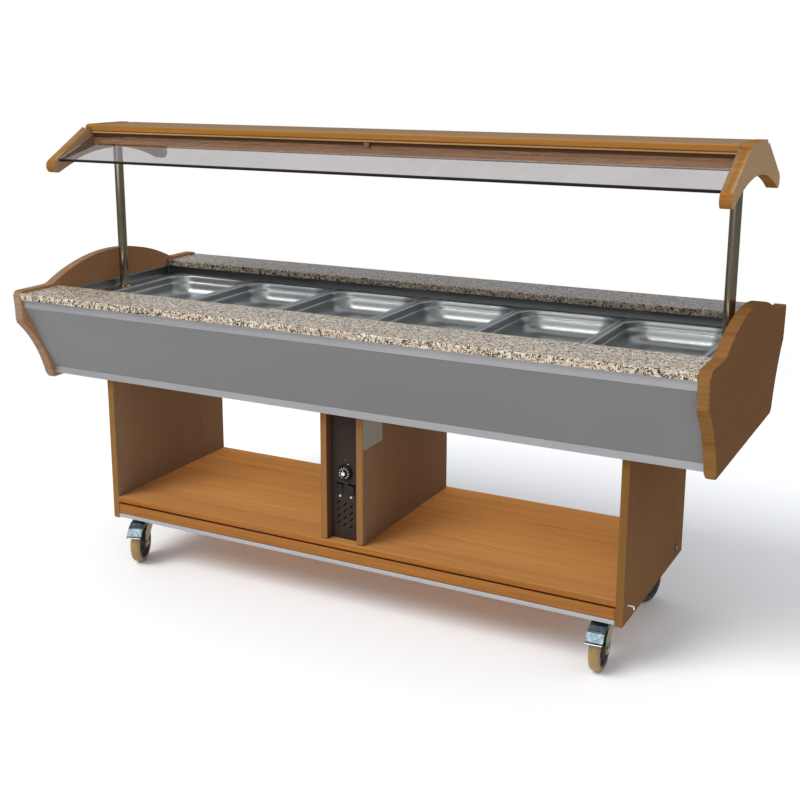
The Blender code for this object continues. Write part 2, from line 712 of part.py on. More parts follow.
def make_control_panel():
    """A folded sheet with holes for the thermostat and the switches, and slanting vents below them."""
    x = PARTITION_X - GAP
    y, rear, t = CONTROL_Y, CONTROL_Y + CONTROL_FLANGE, CONTROL_SHEET
    section = [(-x, y), (x, y), (x, rear), (x - t, rear), (x - t, y + t)]
    section += [(-x + t, y + t), (-x + t, rear), (-x, rear)]
    shape = prism(section, "Z", SHELF_TOP_Z + GAP, BODY_BOTTOM_Z - GAP)
    panel = place("control_panel", shape, "dark_panel")
    through = (y - 5, y + 5)
    holes = [turned(((3.6, through[0]), (3.6, through[1])), "Y", (0.0, 0.0, KNOB_Z), 12)]
    for side in (-1, 1):
        middle = side * SWITCH_X
        across = (middle - SWITCH_HALF_X - 1.5, middle + SWITCH_HALF_X + 1.5)
        upright = (SWITCH_Z - SWITCH_HALF_Z - 2.0, SWITCH_Z + SWITCH_HALF_Z + 2.0)
        holes.append(block(across, through, upright))
    for row in range(4):
        for column in (-1, 0, 1):
            centre_x = VENT_MIDDLE_X + column * VENT_PITCH
            centre_z = VENT_BOTTOM_Z + row * VENT_PITCH - column * 4.0
            holes.append(vent(centre_x, centre_z, through))
    boolean(panel, place("holes", together(holes), "dark_panel"))


def vent(x, z, through):
    """A slanting slot with round ends."""
    run = (VENT_LENGTH - VENT_WIDTH) / 2
    slot = []
    for end in (0, 1):
        turn = VENT_SLANT + pi * end
        middle = (x + run * cos(turn), z + run * sin(turn))
        slot += arc(middle, VENT_WIDTH / 2, turn - pi / 2, turn + pi / 2, 3)
    return prism(slot, "Y", *through)


def make_control_box():
    """An open-fronted steel box behind the control panel, and the gland in its back."""
    t = BOX_SHEET
    front = CONTROL_Y + CONTROL_SHEET + GAP
    height = (BOX_BOTTOM_Z, BOX_TOP_Z)
    box = place("control_box", block((-BOX_X, BOX_X), (front, BOX_REAR_Y), height), "zinc")
    inside = block(
        (-BOX_X + t, BOX_X - t), (front - 5, BOX_REAR_Y - t), (height[0] + t, height[1] - t)
    )
    boolean(box, place("inside", inside, "zinc"))
    y = BOX_REAR_Y
    hole = turned(((8.4, y - 5), (8.4, y + 5)), "Y", (0.0, 0.0, GLAND_Z), 16)
    boolean(box, place("hole", hole, "zinc"))
    profile = (
        (4.5, y - 9),
        (8.0, y - 9),
        (8.0, y + GAP),
        (12.0, y + GAP),
        (12.0, y + 12),
        (9.5, y + 22),
        (4.5, y + 22),
    )
    gland = turned(profile, "Y", (0.0, 0.0, GLAND_Z), 16, ring=True)
    place("cable_gland", gland, "black_plastic")


def make_knob():
    """Thermostat knob: a flared skirt, a small grip with a pointer rib, and a shaft through the panel."""
    face = CONTROL_Y - GAP
    profile = (
        (3.0, face + 18.0),
        (3.0, face),
        (KNOB_R, face),
        (KNOB_R, face - 2.5),
        (18.5, face - 9.0),
        (17.5, face - 10.5),
        (10.0, face - 11.0),
        (9.0, face - 15.0),
        (8.0, face - 16.0),
    )
    knob = place(
        "thermostat_knob", turned(profile, "Y", (0.0, 0.0, KNOB_Z), 24), "black_plastic", (0, face, KNOB_Z)
    )
    rib = block((-1.5, 1.5), (face - 17.5, face - 9.5), (KNOB_Z, KNOB_Z + 12.5))
    boolean(knob, place("rib", rib, "black_plastic"), "UNION")


def make_switches():
    """Two rockers at rest in their off position, each turning about its own middle."""
    pivot_y = CONTROL_Y + 2.0
    for name, side in (("heater_switch", -1), ("light_switch", 1)):
        x, half = side * SWITCH_X, SWITCH_HALF_Z
        face = [(-half, -7.5), (0.0, -5.0), (half, -7.5), (half - 2.0, 3.0), (-half + 2.0, 3.0)]
        outline = []
        for up, out in face:
            y = pivot_y + out * cos(SWITCH_TILT) - up * sin(SWITCH_TILT)
            z = SWITCH_Z + out * sin(SWITCH_TILT) + up * cos(SWITCH_TILT)
            outline.append((y, z))
        rocker = prism(outline, "X", x - SWITCH_HALF_X, x + SWITCH_HALF_X)
        place(name, rocker, "black_plastic", (x, pivot_y, SWITCH_Z))


# ---------------------------------------------------------------- castors


def make_castor(name, side_x, y, angle, braked):
    """One castor: a fixed mount, and a swivel frame whose Z axis it turns on, wheel towards -Y."""
    x = side_x * CASTOR_X
    make_mount(name, x, y)
    pivot = bpy.data.objects.new(f"{name}_pivot", None)
    pivot.location = (x * MM, y * MM, 0.0)
    bpy.context.scene.collection.objects.link(pivot)
    make_fork(name, pivot)
    make_wheel(name, pivot)
    if braked:
        make_pedal(name, pivot)
    pivot.rotation_euler = (0.0, 0.0, angle)


def make_mount(name, x, y):
    """The screwed plate with the upper race and the kingpin that the fork hangs on."""
    plate_top = FRAME_BOTTOM_Z - GAP
    plate = block((x - 44, x + 44), (y - 40, y + 40), (plate_top - 3, plate_top), 0.8)
    mount = place(f"{name}_mount", plate, "zinc")
    crown_low = CROWN_TOP_Z - CROWN_THICK
    head = (
        (9.0, crown_low - 3.0 - GAP),
        (9.0, crown_low - GAP),
        (KINGPIN_R, crown_low - GAP),
        (KINGPIN_R, CROWN_TOP_Z + GAP),
        (26.0, CROWN_TOP_Z + GAP),
        (30.0, CROWN_TOP_Z + 4.0),
        (24.0, plate_top - 2.0),
    )
    boolean(mount, place("race", turned(head, "Z", (x, y, 0), 20), "zinc"), "UNION")


def make_fork(name, pivot):
    """A folded fork: a channel trimmed to its side view, with the axle across it."""
    outer = FORK_INNER_X + FORK_SHEET
    crown_low = CROWN_TOP_Z - CROWN_THICK
    channel = [(-outer, 30), (-outer, CROWN_TOP_Z), (outer, CROWN_TOP_Z), (outer, 30)]
    channel += [(FORK_INNER_X, 30), (FORK_INNER_X, crown_low), (-FORK_INNER_X, crown_low), (-FORK_INNER_X, 30)]
    fork = place(f"{name}_fork", prism(channel, "Y", -80, 60), "zinc", parent=pivot)
    hub = arc((-CASTOR_TRAIL, WHEEL_R), 15.0, -0.8 * pi, 0.12 * pi, 7)
    side = [*hub, (27.0, 104.0), (27.0, 140.0), (-27.0, 140.0), (-27.0, 122.0), (-48.0, 100.0)]
    trim = place("trim", prism(side, "X", -60, 60), "zinc", parent=pivot)
    boolean(fork, trim, "INTERSECT")
    axle = turned(((AXLE_R, -outer - 4), (AXLE_R, outer + 4)), "X", (0, -CASTOR_TRAIL, WHEEL_R), 12)
    boolean(fork, place("axle", axle, "zinc", parent=pivot), "UNION")
    hole = turned(((KINGPIN_R + GAP, 125), (KINGPIN_R + GAP, 145)), "Z", (0, 0, 0), 20)
    boolean(fork, place("hole", hole, "zinc", parent=pivot))


def make_wheel(name, pivot):
    """Tyre, web and hub in one turned piece."""
    bore = AXLE_R + GAP
    half = [(bore, 17.5), (14.0, 17.5), (15.0, 9.0), (44.0, 9.0), (47.0, WHEEL_HALF_WIDTH)]
    half += [(57.0, WHEEL_HALF_WIDTH), (WHEEL_R, 9.0)]
    profile = half + [(r, -h) for r, h in reversed(half)]
    centre = (0.0, -CASTOR_TRAIL, WHEEL_R)
    shape = turned(profile, "X", centre, 20, ring=True)
    place(f"{name}_wheel", shape, "tyre", centre, parent=pivot)


def make_pedal(name, pivot):
    """A broad brake pedal that curves down over the wheel, with two cheeks outside the fork."""
    t = PEDAL_SHEET
    top = [(-30.0, 139.0), (-62.0, 136.0), (-86.0, 125.0), (-104.0, 106.0), (-111.0, 104.0)]
    low = [(-112.0, 104.0 - t), (-105.5, 106.0 - t), (-84.5, 123.0), (-61.5, 136.0 - t), (-30.0, 139.0 - t)]
    shape = prism([*top, *low], "X", -PEDAL_HALF_X, PEDAL_HALF_X)
    pedal = place(f"{name}_pedal", shape, "zinc", (0.0, *PEDAL_PIVOT), parent=pivot)
    cheek = [(-15.0, 135.0), (-15.0, 127.0), (-22.0, 122.0), (-34.0, 124.0), (-61.0, 132.0)]
    cheek += [(-61.5, 135.0), (-31.0, 138.0), (-29.0, 135.0)]
    inner = PEDAL_HALF_X - 2.0
    for x in ((-PEDAL_HALF_X, -inner), (inner, PEDAL_HALF_X)):
        side = place("cheek", prism(cheek, "X", *x), "zinc", parent=pivot)
        boolean(pedal, side, "UNION")


def clear_scene():
    for item in list(bpy.data.objects):
        bpy.data.objects.remove(item)


def build():
    make_end_panels()
    make_surround()
    make_body_floor()
    make_well()
    make_cross_bar()
    make_pans()
    make_element()
    make_drain()
    make_posts()
    make_brackets()
    make_canopy()
    make_boards()
    make_base_frame()
    make_control_panel()
    make_control_box()
    make_knob()
    make_switches()
    for castor in CASTORS:
        make_castor(*castor)


clear_scene()
MATERIALS = {finish: make_material(finish) for finish in FINISHES}
build()
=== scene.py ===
"""Looks of the mobile steam table: finer shapes, materials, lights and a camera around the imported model.

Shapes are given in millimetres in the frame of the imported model: X along the table, -Y its front, +Z up.
Tones are given as 0 to 255 display values, greys and factors as linear values.
"""

import json
from math import asin, atan2, cos, hypot, pi, radians, sin

import bmesh
import bpy
from mathutils import Matrix, Vector


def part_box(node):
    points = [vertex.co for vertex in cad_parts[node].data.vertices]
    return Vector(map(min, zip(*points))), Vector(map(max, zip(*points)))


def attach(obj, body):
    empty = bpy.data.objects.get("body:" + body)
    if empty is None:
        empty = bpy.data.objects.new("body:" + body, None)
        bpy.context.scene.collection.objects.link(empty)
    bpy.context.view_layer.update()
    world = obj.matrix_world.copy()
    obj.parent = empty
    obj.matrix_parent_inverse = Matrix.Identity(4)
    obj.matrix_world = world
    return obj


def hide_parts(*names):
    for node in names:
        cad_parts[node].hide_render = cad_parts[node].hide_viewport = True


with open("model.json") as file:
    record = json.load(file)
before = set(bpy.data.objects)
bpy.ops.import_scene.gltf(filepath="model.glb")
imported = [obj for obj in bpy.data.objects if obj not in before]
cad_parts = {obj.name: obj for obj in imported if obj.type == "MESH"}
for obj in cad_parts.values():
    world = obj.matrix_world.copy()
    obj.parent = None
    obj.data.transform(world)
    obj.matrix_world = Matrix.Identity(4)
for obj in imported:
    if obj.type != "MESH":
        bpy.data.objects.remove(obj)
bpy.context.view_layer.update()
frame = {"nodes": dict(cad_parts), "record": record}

MM = 0.001
SMOOTH_BELOW = radians(32)
BEVEL_ABOVE = radians(28)
WELD_WITHIN = 0.02
TABLE = "table"
SIDES = (("left", -1), ("right", 1))
ENDS = (("front", -1), ("rear", 1))

# Camera: its place in metres, its directions, and its lens in millimetres
CAMERA_AT = (1.69097, -3.22310, 1.60917)
CAMERA_RIGHT = (0.87699, 0.48049, -0.00346)
CAMERA_UP = (-0.10963, 0.20710, 0.97216)
CAMERA_LENS = 55.41
CAMERA_SHIFT = (0.0439, -0.0602)

# Floor, in metres, and the surround's grey at each height of a ray
FLOOR_R = 5
FLOOR_FADE_R = 2.4
FLOOR_GREYS = (0.92, 0.94)
SURROUND = ((0, 0.22), (0.10, 0.34), (0.35, 0.62), (0.85, 0.85))

# End panels
CROWN_R = 690
FILLET_R = 60
NOSE_Z = 807
NOSE_R = 16
FLAT_OVER_STONE = 7
FOOT_HALF_Y = 331
SWEEP_SAG = 16
PANEL_ROUND = 7

# Pans and well
PAN_FLOOR_R = 34
WELL_OPEN = (974, 256)
WELL_SHEET = 1.5
DRAIN_Y = 150
ELEMENT_R = 4.2
ELEMENT_TAIL = (30, -150)
ELEMENT_BEND = 16

# Canopy
BRACKET_FLAT_Y = 97
BRACKET_CORNER_R = 15
BRACKET_SHOULDER_DROP = 17
BRACKET_TIP_Y = 268
BRACKET_TIP_DROP = 121
BRACKET_TIP_R = 21
BRACKET_ARCH_DROP = 85
BRACKET_ROUND = 13
GLASS_TOP = (98, 1357)
GLASS_LOW = (263, 1294)
GLASS_THICK = 6
EDGE_SHADE_DEEP = 5
EDGE_SHADE_OVER = 0.5
CLIP_X = -14
CLIP_HALF = 9
BEAD_HIGH = 5.4
LENS_HALF_Y = 26
LENS_BULGE = 3

# Base
GAP_SHADE_HIGH = 5
CAP_FROM_REAR = 76
CAP_FROM_LOW = 37
GLINT_FROM_FRONT = 36
GLINT_FROM_LOW = 53
GLINT_LONG = 20
GLINT_DROP = 12
GLINT_THICK = 4
PLATE_WIDE = 118
PLATE_HIGH = 104
PLATE_INSET = 4
PLATE_BORDER = 2.4

# Controls: places on the panel are (x, z)
SWITCH_X = 18.5
SWITCH_Z = 377
WHITE_LAMP_Z = 351
WHITE_LAMP_R = 3.8
RED_LAMP_AT = (-2, 462.5)
RED_LAMP_R = 4.2
PANEL_SCREW_AT = (8, 451.5)
PANEL_SCREW_R = 2.4
VENT_HALF_X = 32
VENT_Z = (236, 346)
DIAL_MARKS = 11
DIAL_STEP = 30

# Castors
CASTORS = ("front_left", "front_right", "rear_left", "rear_right")
CASTOR_TRAIL = 40
WHEEL_R = 62.5
WHEEL_HALF_WIDTH = 16
FORK_OUTER_X = 21.5
SPOKES = 6
AXLE_NUT_R = 9.6
PLATE_BOLT_R = 5.6
PLATE_BOLT_AT = (35, 31)
PEDAL_HALF_X = 23.8
PEDAL_LIP_AT = (-111, 102.9)
PEDAL_RIBS_AT = ((-68, 134.2), (-76, 130.5), (-84, 126.6))


# ---------- node helpers

WHITE = (1, 1, 1, 1)
EVEN = (1, 1, 1)


def colour(*display):
    """Three display values as the linear colour that a shader takes."""
    shown = [c / 255 for c in display]
    return (*(c / 12.92 if c <= 0.04045 else ((c + 0.055) / 1.055) ** 2.4 for c in shown), 1)


class Nodes:
    """Short calls for the nodes of a tree."""

    def __init__(self, tree):
        self.tree = tree

    def join(self, socket, value):
        """Links an input to an output, or gives it a value."""
        if isinstance(value, bpy.types.NodeSocket):
            self.tree.links.new(value, socket)
        else:
            socket.default_value = value

    def node(self, kind, inputs=(), **settings):
        item = self.tree.nodes.new("ShaderNode" + kind)
        for key, value in settings.items():
            setattr(item, key, value)
        for key, value in dict(inputs).items():
            self.join(item.inputs[key], value)
        return item

    def place(self, scale=EVEN):
        """Object coordinates, stretched by a scale for each axis."""
        source = self.node("TexCoord").outputs["Object"]
        return self.node("Mapping", {"Vector": source, "Scale": scale}).outputs["Vector"]

    def noise(self, size, detail=3, distortion=0, roughness=0.5, where=None):
        """Noise over a vector of its own, or else over object coordinates."""
        where = self.place() if where is None else where
        inputs = {"Vector": where, "Scale": size, "Detail": detail, "Distortion": distortion}
        return self.node("TexNoise", {**inputs, "Roughness": roughness}).outputs["Fac"]

    def ramp(self, factor, *stops):
        """A colour ramp from (position, colour) pairs."""
        item = self.node("ValToRGB", {"Fac": factor})
        band = item.color_ramp
        while len(band.elements) < len(stops):
            band.elements.new(0.5)
        for element, (position, value) in zip(band.elements, stops):
            element.position = position
            element.color = value
        return item.outputs["Color"]

    def span(self, factor, low, high, start=0, end=1):
        """A number from low to high as the factor goes from start to end."""
        inputs = {"Value": factor, "From Min": start, "From Max": end, "To Min": low, "To Max": high}
        return self.node("MapRange", inputs).outputs["Result"]

    def math(self, a, b, operation="ADD"):
        item = self.node("Math", operation=operation)
        self.join(item.inputs[0], a)
        self.join(item.inputs[1], b)
        return item.outputs["Value"]

    def mix(self, factor, a, b, blend="MIX"):
        item = self.node("Mix", data_type="RGBA", blend_type=blend)
        self.join(item.inputs[0], factor)
        self.join(item.inputs[6], a)
        self.join(item.inputs[7], b)
        return item.outputs[2]

    def facing(self, axis, start=0.55, end=0.8):
        """1 on faces that look along an axis of the model, either way, and 0 on the others."""
        normal = self.node("TexCoord").outputs["Normal"]
        split = self.node("SeparateXYZ", {"Vector": normal}).outputs[axis]
        return self.span(self.math(split, 0, "ABSOLUTE"), 0, 1, start, end)


class Look(Nodes):
    """A material with a Principled shader, and short calls for its inputs."""

    def __init__(self, name, metallic=0, specular=0.5):
        self.material = bpy.data.materials.new(name)
        self.material.use_nodes = True
        super().__init__(self.material.node_tree)
        self.shader = self.tree.nodes["Principled BSDF"]
        self.set("Metallic", metallic)
        self.set("Specular IOR Level", specular)

    def set(self, socket, value):
        self.join(self.shader.inputs[socket], value)

    def finish(self, tone, roughness, height=None, strength=0, distance=0.0002):
        """Joins the tone, the roughness and any bump to the shader, and gives the material."""
        self.set("Base Color", tone)
        self.set("Roughness", roughness)
        if height:
            inputs = {"Height": height, "Strength": strength, "Distance": distance}
            self.set("Normal", self.node("Bump", inputs).outputs["Normal"])
        return self.material


# ---------- materials


def wood(name, tones, stretch, contrast, fade=None, turn=(0.55, 0.8)):
    """Wood laminate, with streaks that are long where the stretch is small.

    The tones are for the faces across X, Y and Z, and paint light and shade into one laminate by the way a
    face looks; the first contrast is for those across X, the second for the others. The fade names faces by
    the axis they are across, and gives an axis, two places along it in metres and the tone that those faces
    turn to between them, as a band of painted light and shade. The turn says how much a face has to look
    along X to start to take the tone across X, and to have it.
    """
    look = Look(name, specular=0)
    tones = {axis: colour(*tone) for axis, tone in zip("XYZ", tones)}
    if fade:
        faces, axis, start, end, tone = fade
        where = look.node("SeparateXYZ", {"Vector": look.place()}).outputs[axis]
        tones[faces] = look.mix(look.span(where, 0, 1, start, end), tones[faces], colour(*tone))
    streaks = look.noise(1, 5, 0.5, 0.62, look.place(stretch))
    fine = look.noise(1, 3, 0.3, 0.6, look.place([s * 4.5 for s in stretch]))
    drift = look.noise(1, 3, 1.2, 0.5, look.place([s * 0.12 for s in stretch]))
    shade = look.math(look.math(streaks, 0.45, "MULTIPLY"), look.math(fine, 0.30, "MULTIPLY"))
    shade = look.math(shade, look.math(drift, 0.25, "MULTIPLY"))
    figure = look.ramp(
        shade,
        (0.34, (0.62, 0.56, 0.50, 1)),
        (0.46, (0.93, 0.91, 0.88, 1)),
        (0.54, (1.05, 1.05, 1.04, 1)),
        (0.66, (1.28, 1.27, 1.24, 1)),
    )
    side = look.facing("X", *turn)
    strength = look.span(side, contrast[1], contrast[0])
    # painted light and shade: a tone for each way a face looks
    base = look.mix(look.facing("Y"), tones["Z"], tones["Y"])
    base = look.mix(side, base, tones["X"])
    tone = look.mix(1, base, look.mix(strength, WHITE, figure), "MULTIPLY")
    return look.finish(tone, look.span(shade, 0.50, 0.38, 0.35, 0.65), shade, 0.10, 0.0003)


def granite(name, darken):
    """Polished stone: a cream and pink ground with brown and near-black winding specks, times a grey."""
    look = Look(name, specular=0.3)
    where = look.place()
    warp = look.node("TexNoise", {"Vector": where, "Scale": 110, "Detail": 2}).outputs["Color"]
    shift = look.node("VectorMath", {0: warp, 1: (0.012, 0.012, 0.012)}, operation="MULTIPLY").outputs[0]
    moved = look.node("VectorMath", {0: where, 1: shift}, operation="ADD").outputs[0]
    ground = look.ramp(
        look.noise(90, 3, 0.6, 0.6, moved),
        (0.30, colour(168, 144, 126)),
        (0.44, colour(214, 198, 176)),
        (0.57, colour(246, 238, 218)),
        (0.74, colour(230, 212, 192)),
    )
    cells = look.node("TexVoronoi", {"Vector": moved, "Scale": 190, "Randomness": 1})
    grains = look.node("SeparateColor", {"Color": cells.outputs["Color"]}).outputs["Red"]
    ground = look.mix(look.span(grains, 0, 0.45, 0.3, 1), ground, colour(186, 150, 128))
    worms = look.noise(125, 2, 1.8, 0.6, moved)
    mask = look.ramp(worms, (0.465, WHITE), (0.490, (0, 0, 0, 1)))
    depth = look.noise(55, 2, 0, 0.5, moved)
    speck = look.ramp(depth, (0.44, colour(20, 17, 15)), (0.62, colour(88, 70, 58)))
    tone = look.mix(1, look.mix(mask, ground, speck), darken, "MULTIPLY")
    return look.finish(tone, look.span(worms, 0.12, 0.22, 0.3, 0.7), worms, 0.04)


def painted(name, tone, roughness, texture, variation, specular=0.5, strength=0.10):
    """Paint or moulded plastic: a fine skin texture, and a slow drift in tone."""
    look = Look(name, specular=specular)
    drift = look.noise(5, 3)
    skin = look.noise(texture, 2)
    tone = colour(*tone)[:3]
    low = (*(c * (1 - variation) for c in tone), 1)
    high = (*(min(1, c * (1 + variation)) for c in tone), 1)
    tone = look.mix(look.span(drift, 0, 1, 0.3, 0.7), low, high)
    return look.finish(tone, look.span(skin, roughness - 0.04, roughness + 0.06, 0.3, 0.7), skin, strength)


def brushed(name, low, high, stretch, roughness, metallic=1, strength=0.05, upright=1):
    """Metal with lines along the axis of the smallest stretch; upright scales the tone of faces across Y as
    painted shade.
    """
    look = Look(name, metallic=metallic)
    lines = look.noise(1, 4, 0, 0.6, look.place(stretch))
    drift = look.noise(6, 3, 0.4)
    factor = look.math(look.math(lines, 0.6, "MULTIPLY"), look.math(drift, 0.4, "MULTIPLY"))
    base = look.mix(look.span(factor, 0, 1, 0.35, 0.65), colour(*low), colour(*high))
    dim = look.mix(look.facing("Y"), WHITE, (upright, upright, upright, 1))
    tone = look.mix(1, base, dim, "MULTIPLY")
    return look.finish(tone, look.span(factor, *roughness, 0.35, 0.65), lines, strength)


def zinc_plate(name, cool, middle, warm, roughness=(0.20, 0.36)):
    """Zinc plating with a soft bloom from one tint to another."""
    look = Look(name, metallic=1)
    bloom = look.noise(40, 3, 0.8)
    fine = look.noise(600, 2)
    tints = [colour(*tint) for tint in (cool, middle, warm)]
    tone = look.ramp(bloom, *zip((0.30, 0.50, 0.70), tints))
    return look.finish(tone, look.span(fine, *roughness, 0.3, 0.7), fine, 0.05)


def clear_glass():
    """Sneeze-guard glass with a light grey-lilac tint."""
    look = Look("tinted_glass")
    look.set("Transmission Weight", 1)
    look.set("IOR", 1.45)
    smear = look.noise(7, 4, 1)
    tint = look.mix(look.span(smear, 0, 1, 0.3, 0.7), colour(186, 181, 180), colour(194, 189, 188))
    return look.finish(tint, look.span(smear, 0, 0.02, 0.4, 0.7))


def lamp_lens(name, tone, glow):
    """A small moulded lens with a little light of its own."""
    look = Look(name, specular=0.6)
    drift = look.noise(300, 2)
    tone = colour(*tone)
    shade = (*(c * 0.75 for c in tone[:3]), 1)
    look.set("Emission Color", tone)
    look.set("Emission Strength", glow)
    return look.finish(look.mix(drift, tone, shade), look.span(drift, 0.15, 0.25, 0.3, 0.7))


def make_woods():
    """Wood laminates, a tone for each set of boards, with painted light and shade for lit and shaded faces.
    """
    face, shaded, rim = (119, 86, 60), (147, 119, 91), (127, 90, 52)
    honey, apron, edge = (224, 158, 90), (146, 97, 51), (132, 95, 56)
    level = (7, 7, 170)
    upright = (150, 150, 3)
    along = (2.6, 130, 130)
    full, calm, quiet = (0.4, 1), (0.4, 0.6), (0.5, 0.8)
    # painted light: the left panel's inner face turns to a lighter tone, and its rims are a lighter, pinker
    # copy
    inner_face_light = ("X", "X", -1.066, -1.058, (176, 130, 93))
    # painted shade: the shelf's top turns darker towards its front
    front_shade = ("Z", "Y", 0.12, -0.22, (180, 127, 74))
    # painted shade and light on the valance's front: dark above the top edge of the glass, light below it
    shade_above_glass = ("Y", "Z", 1.355, 1.351, (238, 194, 160))
    woods = {
        "panel": ((face, rim, rim), level, full),
        "panel_left": ((face, (144, 117, 97), (140, 112, 85)), level, full, inner_face_light),
        "board": (((124, 91, 63), (116, 82, 44), rim), upright, calm),
        # painted light: boards that stand in the body's shade take lighter faces across X
        "board_shaded": ((shaded, edge, rim), upright, calm),
        # painted shade: the left partition's faces across X are darker, as the shade of the recess by the
        # control panel
        "board_recess_shade": (((108, 69, 48), edge, rim), upright, calm),
        "bracket": (((180, 149, 115), (146, 97, 48), (143, 99, 53)), level, full, None, (0.15, 0.95)),
        "shelf": ((honey, (143, 92, 46), (255, 180, 104)), along, quiet, front_shade),
        "apron": ((apron, apron, apron), along, quiet),
        "canopy": ((honey, (160, 109, 52), (138, 114, 90)), along, quiet),
        "valance": ((face, (99, 71, 47), face), along, quiet, shade_above_glass),
        # painted highlight: the lighter tone of the strips under the canopy board's edges
        "bead_highlight": ((face, (176, 134, 94), face), along, quiet),
    }
    return {key: wood(f"wood_{key}", *settings) for key, settings in woods.items()}


def make_metals():
    """Anodised, brushed and plated metals."""
    drawn, matt = (3, 900, 900), (0.36, 0.48)
    blues = (70, 84, 94), (94, 108, 116), (128, 138, 142)
    yellows = (166, 164, 140), (186, 178, 142), (178, 162, 112)
    return {
        "rail": brushed("rail_anodised", (149, 147, 149), (160, 158, 160), drawn, matt, 0.5),
        "base": brushed("base_anodised", (158, 158, 160), (172, 172, 174), drawn, matt, 0.5),
        # painted shade: the well's walls across Y are darkened by the upright factor
        "well": brushed(
            "well_steel", (132, 136, 138), (150, 153, 153), (12, 60, 60), (0.30, 0.38), 1, 0.01, 0.22
        ),
        "pan": brushed(
            "pan_steel", (152, 156, 157), (166, 169, 169), (14, 30, 30), (0.32, 0.38), 1, 0
        ),
        # painted reflection: the warm tint of the polished steel stands for the wood it reflects
        "bright": brushed(
            "bright_steel", (158, 147, 125), (180, 166, 142), (500, 500, 5), (0.10, 0.18), 1, 0.02
        ),
        "element": brushed("element_steel", (110, 104, 98), (140, 132, 124), [40] * 3, (0.30, 0.45)),
        "brass": brushed("valve_brass", (178, 140, 78), (206, 170, 104), [90] * 3, (0.2, 0.34)),
        "zinc": zinc_plate("zinc_plated", (150, 160, 168), (178, 182, 182), (186, 184, 166)),
        "zinc_yellow": zinc_plate("zinc_yellow", *yellows, (0.26, 0.42)),
        "pedal": zinc_plate("zinc_blue", *blues, (0.38, 0.50)),
    }


def make_coats():
    """Paints, plastics, tyres and lenses."""
    coats = {
        # painted shadow of the gap under the shelf
        "seam": ("dark_seam", (54, 26, 10), 0.80, 300, 0.20, 0),
        "fascia": ("fascia_paint", (111, 111, 111), 0.55, 700, 0.02),
        # painted shade for the lower edges of the panes
        "black_trim": ("black_trim", (10, 10, 10), 0.50, 900, 0.10, 0.2),
        # painted shade behind the vent slots
        "vent_shade": ("dark_opening", (5, 4, 4), 0.90, 300, 0.10, 0),
        "dark_panel": ("panel_paint", (49, 40, 34), 0.50, 800, 0.08, 0.1),
        "black": ("black_plastic", (16, 16, 18), 0.34, 1100, 0.10, 0.3),
        "tick": ("dial_marks", (232, 232, 228), 0.45, 1100, 0.03),
        "clip": ("clip_brown", (118, 84, 66), 0.50, 700, 0.10, 0.2),
        "label": ("blank_plate", (140, 134, 114), 0.40, 500, 0.10),
        "tread": ("tyre_tread", (140, 114, 66), 0.34, 200, 0.20, 0.5, 0.2),
        # painted shade: a darker copy of the tread for the rear wheels
        "tread_rear_shade": ("tyre_tread_dark", (40, 36, 34), 0.40, 200, 0.20, 0.5, 0.2),
        # painted shade and highlight for the leg panels' cover caps: a dark ring and a pale screw head
        "cap": ("cap_bronze", (58, 46, 34), 0.60, 600, 0.12, 0.1),
        "tarnished": ("screw_tarnished", (150, 134, 112), 0.50, 600, 0.12, 0.2),
        "core": ("wheel_core", (66, 64, 62), 0.50, 500, 0.12),
        "white": ("lamp_housing", (226, 226, 222), 0.40, 700, 0.03),
    }
    return {
        **{key: painted(*settings) for key, settings in coats.items()},
        "lens": lamp_lens("light_diffuser", (244, 244, 240), 1.2),
        "red_lens": lamp_lens("red_lens", (84, 22, 18), 0.02),
        "white_lens": lamp_lens("white_lens", (206, 202, 194), 0.02),
    }


def make_looks():
    """Every material, by the short name that the pieces use."""
    stone = {
        "granite": granite("granite_polished", (0.80, 0.79, 0.77, 1)),
        # painted shade: the rear slab is the same stone, darkened as the shade under the canopy
        "granite_rear": granite("granite_shaded", (0.50, 0.49, 0.49, 1)),
    }
    return {**make_woods(), **stone, **make_metals(), **make_coats(), "glass": clear_glass()}


# ---------- mesh helpers


def box(node):
    """Lowest and highest corner of a CAD node, in millimetres."""
    low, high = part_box(node)
    return low / MM, high / MM


def linked(name, data):
    """A new object in the scene, for a mesh, a curve, a camera or a light."""
    item = bpy.data.objects.new(name, data)
    bpy.context.scene.collection.objects.link(item)
    return item


def as_mesh(name, shape):
    """Turns a bmesh in millimetres into a mesh in metres."""
    bmesh.ops.scale(shape, verts=shape.verts, vec=(MM, MM, MM))
    bmesh.ops.recalc_face_normals(shape, faces=shape.faces)
    mesh = bpy.data.meshes.new(name)
    shape.to_mesh(mesh)
    shape.free()
    return mesh


def shade_smooth(mesh):
    mesh.shade_smooth()
    mesh.set_sharp_from_angle(angle=SMOOTH_BELOW)


def put(name, shape, look, body=TABLE, stands_for=(), level=False):
    """Makes a piece that rides on a body; level keeps its big faces flat in shading."""
    mesh = as_mesh(name, shape)
    shade_smooth(mesh)
    mesh.materials.append(LOOKS[look])
    piece = linked(name, mesh)
    if stands_for:
        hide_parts(*stands_for)
    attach(piece, body)
    if level:
        piece.modifiers.new("flat_faces", "WEIGHTED_NORMAL").keep_sharp = True
    return piece


def soften(piece, width, segments=3):
    """Rounds a piece's sharp edges by a width in millimetres."""
    weld = piece.modifiers.new("weld", "WELD")
    weld.merge_threshold = WELD_WITHIN * MM
    bevel = piece.modifiers.new("bevel", "BEVEL")
    bevel.width = width * MM
    bevel.segments = segments
    bevel.limit_method = "ANGLE"
    bevel.angle_limit = BEVEL_ABOVE
    bevel.harden_normals = True


